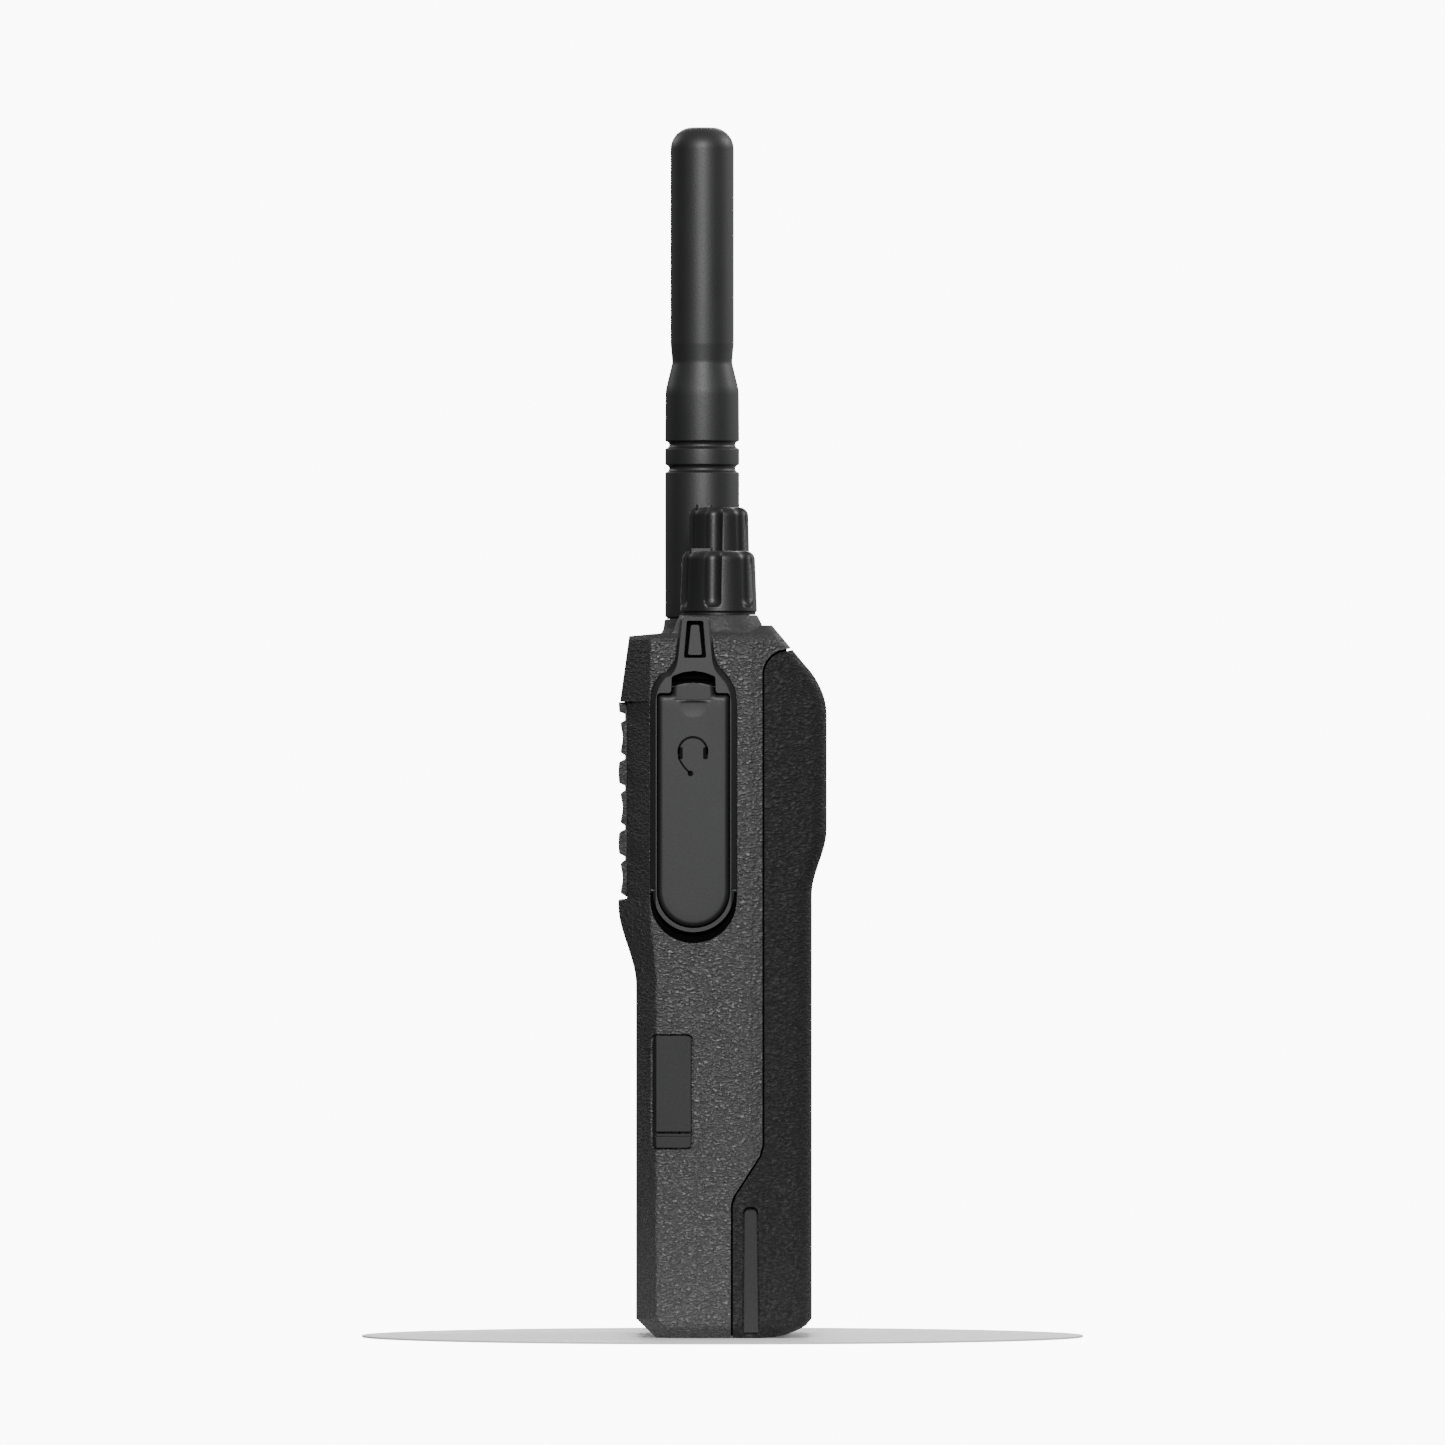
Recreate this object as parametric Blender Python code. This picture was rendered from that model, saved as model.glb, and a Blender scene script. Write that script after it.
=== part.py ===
"""Portable two-way radio: housing with grille and controls, chassis, sliding battery, screw-in antenna.

The radio stands on its base. The front, with the speaker, faces -Y; the battery is at +Y. The
accessory cover is on the +X side and the push-to-talk button on the -X side. Sizes are in
millimetres and become metres where a mesh is made.
"""

import math

import bmesh
import bpy
from mathutils import Matrix, Vector

MM = 0.001
GAP = 0.3  # running gap between neighbouring pieces

# body
HALF_WIDTH = 27.5
PROUD_X = 28.4  # side trim and side buttons stand this far from the middle
FRONT_LOWER = -14.8
FRONT_UPPER = -17.85
FRONT_GRILLE = -16.4  # housing surface under the grille
REAR_LOWER = 15.3
REAR_UPPER = 17.85
WALL = 1.8
BASE_THICK = 3.2
CAVITY_FRONT = -13.0
CAVITY_TOP = 118.2
SPEAKER_Z = 91.8

# parting between housing and battery, as a line in Y over Z
PART_UPPER = 7.0
PART_LOWER = 1.6
PART_STEP = (23.0, 33.0)
PART_ARC_LOW = 113.5
PART_TOP = (11.5, 118.1)

# controls: (x, y) of each vertical axis
VOLUME_AXIS = (15.5, -0.65)
CHANNEL_AXIS = (0.2, -0.65)
ANTENNA_AXIS = (-17.2, -3.5)
KNOB_BOTTOM = 124.1
VOLUME_TOP = 134.7
CHANNEL_TOP = 142.3
ANTENNA_TOP = 208.0
ANTENNA_BOTTOM = 123.4

# accessory frame and cover on the +X side
COVER_Y = -4.96
FRAME_RADIUS = 7.44
FRAME_LOW_CENTRE = 75.04
FRAME_HIGH_CENTRE = 108.56
COVER_HALF = 6.1
COVER_LOW_CENTRE = 76.4
COVER_SHOULDER = 110.0
TAB_HALF = 3.55
TAB_TOP = 112.1
WINDOW_TOP = 114.1
COVER_HINGE = (27.57, 111.35)
HINGE_PIN_RADIUS = 0.34
HINGE_HOLE_RADIUS = 0.45
DOOR_HINGE = (27.3, 35.3)

# push-to-talk side
PTT_Y = -4.0
BUTTON_BACK = -26.1
PTT_SPAN = (83.0, 112.0)
UPPER_BUTTON_SPAN = (73.5, 80.0)
LOWER_BUTTON_SPAN = (65.0, 71.5)
BEZEL_SPAN = (62.5, 115.0)

# battery
CELL_HALF_GAP = 0.4
CELL_WIDTH = 23.0
LUG_X = 15.0
LUG_ROWS = (47.5, 88.0)
LUG_HEIGHT = 5.0
SLIDE_TRAVEL = 12.0
CONTACT_X = (-4.5, 0.0, 4.5)
CONTACT_Z = 62.0
SCREW_POINTS = ((-21.7, 12.0), (21.7, 12.0), (-21.7, 103.4), (21.7, 103.4))

FINISHES = {
    "textured_plastic": ((0.035, 0.036, 0.038), 0.6, 0.0),
    "smooth_plastic": ((0.03, 0.031, 0.033), 0.45, 0.0),
    "rubber": ((0.025, 0.026, 0.027), 0.75, 0.0),
    "inner_plastic": ((0.12, 0.12, 0.125), 0.55, 0.0),
    "cloth": ((0.02, 0.02, 0.02), 0.95, 0.0),
    "cone_paper": ((0.06, 0.055, 0.05), 0.8, 0.0),
    "steel": ((0.6, 0.61, 0.62), 0.3, 1.0),
    "aluminium": ((0.55, 0.56, 0.57), 0.45, 1.0),
    "brass": ((0.75, 0.58, 0.3), 0.3, 1.0),
    "circuit_board": ((0.03, 0.16, 0.08), 0.5, 0.0),
    "cell_wrap": ((0.55, 0.57, 0.6), 0.35, 0.2),
    "lens": ((0.75, 0.78, 0.75), 0.15, 0.0),
}


def material(finish):
    """The Principled material of one finish, made once."""
    if finish in bpy.data.materials:
        return bpy.data.materials[finish]
    colour, roughness, metallic = FINISHES[finish]
    made = bpy.data.materials.new(finish)
    made.use_nodes = True
    shader = made.node_tree.nodes["Principled BSDF"]
    shader.inputs["Base Color"].default_value = (*colour, 1.0)
    shader.inputs["Roughness"].default_value = roughness
    shader.inputs["Metallic"].default_value = metallic
    return made


def mesh_object(name, bm, pivot=(0, 0, 0)):
    """An object from a mesh in millimetres, with its origin at the pivot."""
    bmesh.ops.recalc_face_normals(bm, faces=bm.faces)
    bmesh.ops.translate(bm, verts=bm.verts, vec=-Vector(pivot))
    bmesh.ops.scale(bm, verts=bm.verts, vec=(MM, MM, MM))
    mesh = bpy.data.meshes.new(name)
    bm.to_mesh(mesh)
    bm.free()
    made = bpy.data.objects.new(name, mesh)
    made.location = Vector(pivot) * MM
    bpy.context.scene.collection.objects.link(made)
    return made


def part(name, bm, finish, pivot=(0, 0, 0), smooth=False):
    """One named piece of the radio."""
    made = mesh_object(name, bm, pivot)
    made.data.materials.append(material(finish))
    if smooth:
        made.data.shade_smooth()
        made.data.set_sharp_from_angle(angle=math.radians(35))
    return made


def combine(target, bm, operation="DIFFERENCE"):
    """Cuts or joins a shape with an exact Boolean; the operand stays as a hidden guide."""
    apply_guide(target, mesh_object(f"guide_{target.name}_{len(target.modifiers)}", bm), operation)


def apply_guide(target, guide, operation):
    """Hides a guide object and cuts the target with it, or joins it to the target."""
    guide.hide_render = True
    guide.display_type = "WIRE"
    modifier = target.modifiers.new(guide.name, "BOOLEAN")
    modifier.operation = operation
    modifier.solver = "EXACT"
    modifier.object = guide


def prism(points, axis, low, high):
    """A straight extrusion. Points are the two other coordinates, in X, Y, Z order."""
    place = {
        "x": lambda a, b, t: (t, a, b),
        "y": lambda a, b, t: (a, t, b),
        "z": lambda a, b, t: (a, b, t),
    }[axis]
    bm = bmesh.new()
    ends = [[bm.verts.new(place(a, b, t)) for a, b in points] for t in (low, high)]
    bm.faces.new(ends[0])
    bm.faces.new(list(reversed(ends[1])))
    bridge(bm, ends[0], ends[1])
    return bm


def bridge(bm, first, second):
    """Side faces between two closed rings of equal length."""
    for i in range(len(first)):
        j = (i + 1) % len(first)
        bm.faces.new((first[i], first[j], second[j], second[i]))


def box(x, y, z):
    """A block between pairs of coordinates."""
    return prism([(x[0], y[0]), (x[1], y[0]), (x[1], y[1]), (x[0], y[1])], "z", z[0], z[1])


def merged(*shapes):
    """Several separate shapes in one mesh, for one cutter."""
    bm = bmesh.new()
    for shape in shapes:
        held = bpy.data.meshes.new("held")
        shape.to_mesh(held)
        shape.free()
        bm.from_mesh(held)
        bpy.data.meshes.remove(held)
    return bm


def turned(profile, centre=(0, 0, 0), axis="z", segments=32):
    """A solid of revolution. Profile points are (radius, height); radius 0 ends in a flat cap or a point."""
    bm = bmesh.new()
    rings = []
    for radius, height in profile:
        if radius == 0:
            rings.append([bm.verts.new((0, 0, height))])
            continue
        ring = []
        for step in range(segments):
            angle = 2 * math.pi * step / segments
            ring.append(bm.verts.new((radius * math.cos(angle), radius * math.sin(angle), height)))
        rings.append(ring)
    pairs = list(zip(rings, rings[1:]))
    if len(rings[0]) > 1 and len(rings[-1]) > 1:
        pairs.append((rings[-1], rings[0]))
    for first, second in pairs:
        if len(first) > 1 and len(second) > 1:
            bridge(bm, first, second)
            continue
        pole, ring = (first, second) if len(first) == 1 else (second, first)
        if abs(pole[0].co.z - ring[0].co.z) < 1e-6:
            bm.verts.remove(pole[0])
            bm.faces.new(ring)
            continue
        for i in range(len(ring)):
            bm.faces.new((ring[i], ring[(i + 1) % len(ring)], pole[0]))
    turn = {"z": (0, "X"), "y": (-90, "X"), "x": (90, "Y")}[axis]
    matrix = Matrix.Translation(Vector(centre)) @ Matrix.Rotation(math.radians(turn[0]), 4, turn[1])
    bmesh.ops.transform(bm, matrix=matrix, verts=bm.verts)
    return bm


def cylinder(radius, low, high, centre, axis="z", segments=24):
    """A plain round bar between two positions along its axis, through centre."""
    profile = [(0, low), (radius, low), (radius, high), (0, high)]
    return turned(profile, centre, axis, segments)


def loft(rings):
    """A closed solid through rings of 3D points."""
    bm = bmesh.new()
    made = [[bm.verts.new(point) for point in ring] for ring in rings]
    for first, second in zip(made, made[1:]):
        bridge(bm, first, second)
    bm.faces.new(made[0])
    bm.faces.new(list(reversed(made[-1])))
    return bm


def arc(centre, radius, start, end, steps):
    """Points on a circle between two angles in degrees, both ends included."""
    points = []
    for step in range(steps + 1):
        angle = math.radians(start + (end - start) * step / steps)
        points.append((centre[0] + radius * math.cos(angle), centre[1] + radius * math.sin(angle)))
    return points


def rounded(low, high, radius, steps=4):
    """A rectangle with round corners, between two corner points."""
    (x0, y0), (x1, y1) = low, high
    corners = ((x1, y1, 0), (x0, y1, 90), (x0, y0, 180), (x1, y0, 270))
    points = []
    for x, y, turn in corners:
        centre = (x - math.copysign(radius, x - (x0 + x1) / 2), y - math.copysign(radius, y - (y0 + y1) / 2))
        points += arc(centre, radius, turn, turn + 90, steps)
    return points


def coil(radius, wire, low, high, turns, centre, axis="z", per_turn=10, sides=5):
    """A helical spring or winding of round wire."""
    count = int(turns * per_turn)
    rings = []
    for step in range(count + 1):
        angle = 2 * math.pi * step / per_turn
        height = low + (high - low) * step / count
        middle = Vector((radius * math.cos(angle), radius * math.sin(angle), height))
        outward = Vector((math.cos(angle), math.sin(angle), 0))
        ring = []
        for side in range(sides):
            around = 2 * math.pi * side / sides
            ring.append(middle + outward * wire * math.cos(around) + Vector((0, 0, wire * math.sin(around))))
        rings.append(ring)
    bm = loft(rings)
    turn = -90 if axis == "y" else 0
    matrix = Matrix.Translation(Vector(centre)) @ Matrix.Rotation(math.radians(turn), 4, "X")
    bmesh.ops.transform(bm, matrix=matrix, verts=bm.verts)
    return bm


# --- outer form of the body, shared by the housing and the battery ---


def smooth_step(z, low, high):
    """0 below low, 1 above high, and an S-curve between."""
    t = min(max((z - low) / (high - low), 0.0), 1.0)
    return t * t * (3 - 2 * t)


def front_y(z):
    """Front surface in the side view."""
    if z < 3.3:
        return -11.4 - (z / 3.3) * 3.4
    if z <= 74.8:
        return FRONT_LOWER + (FRONT_UPPER - FRONT_LOWER) * smooth_step(z, 60.4, 74.1)
    if z < 108.8:
        return FRONT_GRILLE
    return -17.5 + 1.5 * (z - 109.2) / 10.9


def rear_y(z):
    """Rear surface in the side view."""
    if z < 2.1:
        return 7.1 + math.sqrt(2 * 13.4 * z - z * z)
    if z < 3.3:
        return 14.3 + (z - 2.1) / 1.2
    if z <= 106.6:
        return REAR_LOWER + (REAR_UPPER - REAR_LOWER) * smooth_step(z, 75.8, 87.0)
    if z <= 114.0:
        return REAR_UPPER - 2.75 * ((z - 106.6) / 7.4) ** 2
    return 15.1 - (z - 114.0) * 0.83


def half_width(z):
    """Half width of the body, drawn in slightly at the base and the top edge."""
    if z < 2.0:
        return HALF_WIDTH - 0.9 * (1 - z / 2.0) ** 2
    return HALF_WIDTH - 1.2 * max(z - 119.5, 0.0)


def body_ring(z):
    """The body's outline at one height: chamfered front corners, tapered and rounded rear ones."""
    wide, front, rear = half_width(z), front_y(z), rear_y(z)
    upper = smooth_step(z, 60.4, 74.1)
    side_start = -11.4 - upper
    chamfer = 3.6 + 0.7 * upper
    if z < 3.3:
        side_start = front + 3.4
    right = [(wide - chamfer, front)]
    right.append((wide - 0.15, side_start - 0.2))
    right.append((wide, side_start + 0.3))
    right.append((wide, min(4.7, rear - 5.4)))
    right.append((wide - 0.6, min(8.5, rear - 4.2)))
    right += arc((wide - 4.8, rear - 3.2), 3.2, 8, 90, 3)
    left = [(-x, y) for x, y in reversed(right)]
    return [(x, y, z) for x, y in right + left]


BODY_LEVELS = (
    [0.0, 0.3, 1.0, 2.1, 3.3, 30.0, 60.4]
    + [60.4 + 13.7 * step / 5 for step in range(1, 6)]
    + [74.8, 74.9, 75.8]
    + [75.8 + 11.2 * step / 4 for step in range(1, 5)]
    + [106.6, 108.7, 108.9, 110.5, 112.3, 114.0, 118.1, 119.5, 122.4]
)


def parting_line(offset):
    """The parting between housing and battery, from the base up, moved back by offset."""
    low, high = PART_STEP
    line = [(PART_LOWER + offset, -5.0), (PART_LOWER + offset, low)]
    line += [(PART_LOWER + 0.5 + offset, low + 1.3), (PART_UPPER - 0.5 + offset, high - 1.9)]
    line.append((PART_UPPER + offset, high))
    centre = (PART_TOP[0] - 0.5, PART_ARC_LOW)
    for y, z in arc(centre, centre[0] - PART_UPPER, 180, 96, 5):
        line.append((y + offset, z - offset * 0.4))
    line.append((PART_TOP[0] + 4.0 + offset, PART_TOP[1] + 0.6 - offset))
    return line


def body_envelope():
    """The whole body as one solid, before it is parted and hollowed."""
    return loft([body_ring(z) for z in BODY_LEVELS])


def above_top():
    """Everything above the top surface, as a cutter."""
    line = [(-40, 119.9), (-16, 120.1), (-10.5, 120.6), (4.7, 120.6), (6.9, 122.0), (40, 122.0)]
    return prism(line + [(40, 150), (-40, 150)], "x", -40, 40)


def cavity_plan(front, half, rear):
    """Plan of the inner space, with the front corners cut to follow the outer chamfer."""
    return [(half, rear), (half, front + 2.4), (half - 2.6, front), (-half + 2.6, front), (-half, front + 2.4), (-half, rear)]


def side_hole(outline, side, depth_from, depth_to=40.0):
    """A cutter into one side wall: outline in Y and Z, between two distances from the middle."""
    low, high = sorted((side * depth_from, side * depth_to))
    return prism(outline, "x", low, high)


# --- housing and front ---


def collar(axis, outer, low_outer, top=123.7):
    """A raised collar round a control on the top panel."""
    profile = [(0, 119.0), (low_outer + 0.5, 119.0), (low_outer + 0.4, 120.7), (low_outer, 122.2), (outer, top), (0, top)]
    return turned(profile, (*axis, 0), segments=24)


def make_front_housing():
    housing = part("front_housing", body_envelope(), "textured_plastic")
    behind = parting_line(-GAP / 2)
    combine(housing, prism([*behind, (60, 118.7), (60, -5)], "x", -40, 40))
    combine(housing, above_top())
    for axis, outer, low_outer, top in (
        (VOLUME_AXIS, 6.6, 7.4, 123.7),
        (CHANNEL_AXIS, 5.9, 6.6, 123.7),
        (ANTENNA_AXIS, 6.4, 6.6, 123.1),
    ):
        combine(housing, collar(axis, outer, low_outer, top), "UNION")
    combine(housing, prism(cavity_plan(CAVITY_FRONT, HALF_WIDTH - WALL, 40), "z", BASE_THICK, 111.8))
    combine(housing, prism(cavity_plan(CAVITY_FRONT, HALF_WIDTH - WALL, 5.0), "z", 111.0, CAVITY_TOP))
    for x, z in SCREW_POINTS:
        combine(housing, cylinder(2.2, CAVITY_FRONT - 0.5, -1.3, (x, 0, z), "y", 16), "UNION")
    combine(housing, merged(*(cylinder(1.05, -9.0, 0, (x, 0, z), "y", 12) for x, z in SCREW_POINTS)))
    cut_front_openings(housing)
    cut_top_openings(housing)
    cut_side_openings(housing)


def cut_front_openings(housing):
    """The grille's recess, the sound opening behind it and the microphone hole."""
    combine(housing, box((-23.1, 23.1), (-30, -14.9), (75.2, 108.4)))
    sound = cylinder(15.0, -20, -12, (0, 0, SPEAKER_Z), "y", 32)
    combine(housing, merged(sound, cylinder(0.6, -20, -12, (0, 0, 62.0), "y", 12)))


def cut_top_openings(housing):
    """Seats for the control nuts, the antenna socket and the status lens."""
    for axis, radius in ((VOLUME_AXIS, 5.2), (CHANNEL_AXIS, 4.7)):
        well = [(0, 130), (radius, 130), (radius, 121.0), (3.3, 121.0), (3.3, 115), (0, 115)]
        combine(housing, turned(well, (*axis, 0), segments=24))
    combine(housing, cylinder(4.4, 115, 130, (*ANTENNA_AXIS, 0)))
    combine(housing, cylinder(1.8, 115, 130, (8.4, -10.2, 0), segments=16))


def cut_side_openings(housing):
    """Seats for the accessory frame, the port door and the push-to-talk bezel, with holes behind."""
    combine(housing, side_hole(frame_outline(GAP), 1, 26.6))
    combine(housing, side_hole(rounded((-10.5, 79.5), (-1.1, 100.5), 1.0, 2), 1, 20.0))
    combine(housing, side_hole(rounded((-12.25, 32.3), (-5.0, 52.0), 0.9, 3), 1, 26.3))
    combine(housing, side_hole(rounded((-10.5, 37.7), (-6.1, 48.3), 0.8, 2), 1, 20.0))
    combine(housing, side_hole(bezel_outline(GAP), -1, 26.6))
    for span in (PTT_SPAN, UPPER_BUTTON_SPAN, LOWER_BUTTON_SPAN):
        combine(housing, side_hole(button_outline(span, 0.9), -1, 20.0))


def make_speaker_grille():
    """Six cross ribs in front of a slotted plate; every second rib is hollowed along its length."""
    grille = part("speaker_grille", box((-22.8, 22.8), (-16.7, -15.2), (75.5, 108.1)), "textured_plastic")
    hollow, crowned = -17.5, FRONT_UPPER
    ribs = [
        (106.8, 108.6, crowned, crowned),
        (99.9, 105.4, hollow, -17.1),
        (94.7, 98.8, crowned, crowned),
        (87.8, 93.5, hollow, -17.1),
        (82.5, 86.8, crowned, crowned),
        (75.7, 81.5, hollow, -17.1),
    ]
    for low, high, edge, middle in ribs:
        centre = (low + high) / 2
        side = [(-16.6, low), (edge, low + 0.3), (middle, centre), (edge, high - 0.3), (-16.6, high)]
        combine(grille, prism(side, "x", -22.6, 22.6), "UNION")
    slots = []
    for (low, _, _, _), (_, high, _, _) in zip(ribs, ribs[1:]):
        for column in range(-3, 4):
            slots.append(box((column * 4.0 - 1.6, column * 4.0 + 1.6), (-20, -14), (high + 0.15, low - 0.15)))
    combine(grille, merged(*slots))


def make_speaker():
    centre = (0, 0, SPEAKER_Z)
    part("speaker_cloth", cylinder(17.4, -12.6, -12.35, centre, "y", 24), "cloth")
    basket = [(18.3, -12.0), (18.3, -10.8), (10.6, -7.0), (9.3, -7.0), (9.3, -8.0), (15.8, -11.1), (15.8, -12.0)]
    part("speaker_basket", turned(basket, centre, "y", 24), "steel", smooth=True)
    cone = [(0, -10.6), (4.4, -9.9), (15.4, -12.0), (15.4, -11.5), (4.4, -9.4), (0, -10.1)]
    part("speaker_cone", turned(cone, centre, "y", 24), "cone_paper", smooth=True)
    magnet = [(0, -8.6), (8.2, -8.6), (8.9, -8.0), (8.9, -4.9), (8.4, -4.6), (0, -4.6)]
    part("speaker_magnet", turned(magnet, centre, "y", 24), "steel", smooth=True)
    plan = [(-19.9, -11.5), (-18.9, -11.5), (-18.9, -4.3), (18.9, -4.3), (18.9, -11.5), (19.9, -11.5), (19.9, -3.5), (-19.9, -3.5)]
    part("speaker_bracket", prism(plan, "z", SPEAKER_Z - 4.5, SPEAKER_Z + 4.5), "steel")


def make_microphone():
    centre = (0, 0, 62.0)
    part("microphone", cylinder(2.2, -12.1, -9.9, centre, "y", 24), "steel", smooth=True)
    boot = [(0.8, -12.7), (3.2, -12.7), (3.2, -9.9), (2.5, -9.9), (2.5, -12.4), (0.8, -12.4)]
    part("microphone_boot", turned(boot, centre, "y", 24), "rubber", smooth=True)


def make_status_lens():
    profile = [(0, 116.6), (2.4, 116.6), (2.4, 117.8), (1.5, 117.8), (1.5, 120.3), (0, 120.5)]
    part("status_lens", turned(profile, (8.4, -10.2, 0), segments=20), "lens", smooth=True)


# --- electronics and chassis ---


def make_main_board():
    part("main_board", box((-19.1, 19.1), (-3.2, -2.0), (6.0, 107.0)), "circuit_board")
    shield = part("board_shield", box((-16.0, 16.0), (-7.0, -3.5), (18.0, 56.0)), "steel")
    combine(shield, box((-15.7, 15.7), (-6.7, 0), (18.3, 55.7)))


def make_chassis():
    """Die-cast frame that closes the housing's back and carries the battery's T-slots."""
    side = [(-1.0, 3.5), (1.3, 3.5), (1.3, 23.9), (6.4, 32.3), (6.7, 34.0), (6.7, 111.4), (5.35, 111.4), (5.35, 107.5), (-1.0, 107.5)]
    chassis = part("chassis", prism(side, "x", -25.4, 25.4), "aluminium")
    pockets = []
    for x0, x1 in ((-18.5, -8.5), (8.5, 18.5)):
        for z0, z1 in ((36.0, 70.0), (74.0, 98.0)):
            pockets.append(box((x0, x1), (-5, 2.6), (z0, z1)))
    combine(chassis, merged(*pockets))
    seat = merged(*(cylinder(2.4, -0.2, 20, (x, 0, z), "y", 16) for x, z in SCREW_POINTS))
    combine(chassis, seat)
    combine(chassis, merged(*(cylinder(1.2, -5, 5, (x, 0, z), "y", 12) for x, z in SCREW_POINTS)))
    for row in LUG_ROWS:
        for x in (-LUG_X, LUG_X):
            entry = row - SLIDE_TRAVEL - 0.4
            combine(chassis, box((x - 2.9, x + 2.9), (4.0, 5.55), (entry, row + LUG_HEIGHT + 0.4)))
            combine(chassis, box((x - 1.4, x + 1.4), (5.0, 9.0), (entry, row + LUG_HEIGHT + 0.4)))
            combine(chassis, box((x - 2.9, x + 2.9), (5.0, 9.0), (entry, row - SLIDE_TRAVEL + LUG_HEIGHT + 0.4)))
    combine(chassis, box((-7.3, 7.3), (-5, 9), (CONTACT_Z - 4.3, CONTACT_Z + 4.3)))
    combine(chassis, box((-3.1, 3.1), (-0.4, 5.0), (4.7, 7.7)))
    groove = mesh_object("guide_seal_seat", box((-30, 30), (-0.2, 1.0), (0, 108.4)))
    combine(groove, box((-24.4, 24.4), (-2, 3), (4.5, 106.5)))
    apply_guide(chassis, groove, "DIFFERENCE")
    make_chassis_seal()


def make_chassis_seal():
    seal = part("chassis_seal", box((-25.5, 25.5), (0.05, 0.75), (3.4, 107.6)), "rubber")
    combine(seal, box((-24.7, 24.7), (-2, 3), (4.2, 106.8)))


def make_chassis_screws():
    """Four pan-head screws that draw the chassis to the housing's bosses."""
    for number, (x, z) in enumerate(SCREW_POINTS, 1):
        profile = [(0, 1.1), (1.6, 1.1), (2.1, 0.7), (2.1, 0.1), (0.8, 0.1), (0.8, -7.5), (0, -8.0)]
        screw = part(f"chassis_screw_{number}", turned(profile, (x, 0, z), "y", 16), "steel", smooth=True)
        combine(screw, box((x - 1.1, x + 1.1), (0.6, 3), (z - 0.2, z + 0.2)))
        combine(screw, box((x - 0.2, x + 0.2), (0.6, 3), (z - 1.1, z + 1.1)))


# --- controls on the top ---


def make_rotary(kind, axis, knob_top, radii, body_low):
    """A rotary control: body with bushing, nut, shaft with a flat, and a fluted knob."""
    x, y = axis
    body = part(f"{kind}_switch", box((x - 5.2, x + 5.2), (y - 5.2, y + 5.2), (body_low, 117.5)), "inner_plastic")
    combine(body, cylinder(2.9, 117.0, 123.3, (x, y, 0)), "UNION")
    combine(body, cylinder(1.8, body_low + 2.0, 130.0, (x, y, 0), segments=20))
    ring = [(3.2, 121.3), (4.4, 121.3), (4.4, 122.8), (3.2, 122.8)]
    part(f"{kind}_nut", turned(ring, (x, y, 0), segments=6 * 4), "brass")
    shaft = part(f"{kind}_shaft", cylinder(1.5, body_low + 2.3, knob_top - 3.3, (x, y, 0), segments=20), "steel", (x, y, 0), True)
    combine(shaft, box((x - 3, x + 3), (y + 1.0, y + 3), (KNOB_BOTTOM + 3.0, knob_top)))
    make_knob(f"{kind}_knob", axis, knob_top, radii)


def make_knob(name, axis, top, radii):
    """A tapered knob with six scooped flutes and a raised index bar towards the front."""
    x, y = axis
    shoulder, bottom = radii
    bevel = 1.4
    crest = shoulder - bevel
    edge = [(crest + r, top - bevel + h) for r, h in arc((0, 0), bevel, 90, 0, 4)]
    profile = [(0, top), *edge, (bottom, KNOB_BOTTOM + 0.6), (bottom - 0.3, KNOB_BOTTOM)]
    profile += [(3.4, KNOB_BOTTOM), (3.4, KNOB_BOTTOM + 1.2), (1.8, KNOB_BOTTOM + 1.2), (1.8, top - 3.0), (0, top - 3.0)]
    knob = part(name, turned(profile, (x, y, 0), segments=30), "smooth_plastic", (x, y, 0), True)
    scoop, depth = 2.0, 0.75
    for index in range(6):
        angle = math.radians(60 * index - 9)
        reach = shoulder + scoop - depth
        centre = (x + reach * math.cos(angle), y + reach * math.sin(angle), 0)
        combine(knob, cylinder(scoop, KNOB_BOTTOM + 1.2, top + 1, centre, segments=12))
    combine(knob, box((x - 1.4, x + 1.4), (y - shoulder + 1.7, y - 1.0), (top - 0.5, top + 0.45)), "UNION")


def make_antenna():
    """Threaded socket in the top panel, stud, helical element and moulded sheath."""
    x, y = ANTENNA_AXIS
    socket = [(2.9, 112.5), (4.1, 112.5), (4.1, 116.4), (5.4, 116.4), (5.4, 117.9), (4.1, 117.9), (4.1, 122.6), (2.9, 122.6)]
    part("antenna_socket", turned(socket, (x, y, 0), segments=28), "brass", smooth=True)
    thread = [(2.3 + 0.3 * (step % 2), 117.0 + 0.375 * step) for step in range(16)]
    stud = [(0, 116.6), (1.6, 116.6), *thread, (2.3, 123.0), (2.3, 123.7), (3.2, 123.7), (3.2, 131.6), (0, 131.6)]
    part("antenna_stud", turned(stud, (x, y, 0), segments=12), "brass", (x, y, 0), True)
    winding = coil(2.7, 0.4, 132.6, 192.0, 9, (x, y, 0), per_turn=8, sides=4)
    part("antenna_coil", winding, "brass", (x, y, 0), True)
    dome = [(1.67 + r, 204.2 + h) for r, h in arc((0, 0), 3.8, 90, 0, 5)]
    outer = [(0, ANTENNA_TOP), *dome]
    outer += [(5.47, 170.4), (5.13, 170.1), (5.13, 167.1), (6.33, 163.0), (6.4, 154.0)]
    for middle in (153.2, 149.1):
        outer += [(6.4, middle + 0.8), (5.75, middle + 0.35), (5.75, middle - 0.35), (6.4, middle - 0.8)]
    outer += [(6.4, ANTENNA_BOTTOM + 0.4), (6.1, ANTENNA_BOTTOM)]
    inner = [(3.6, ANTENNA_BOTTOM), (3.6, 194.0), (0, 195.0)]
    part("antenna_sheath", turned(outer + inner, (x, y, 0), segments=24), "rubber", (x, y, 0), True)


# --- accessory side, +X ---


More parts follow.
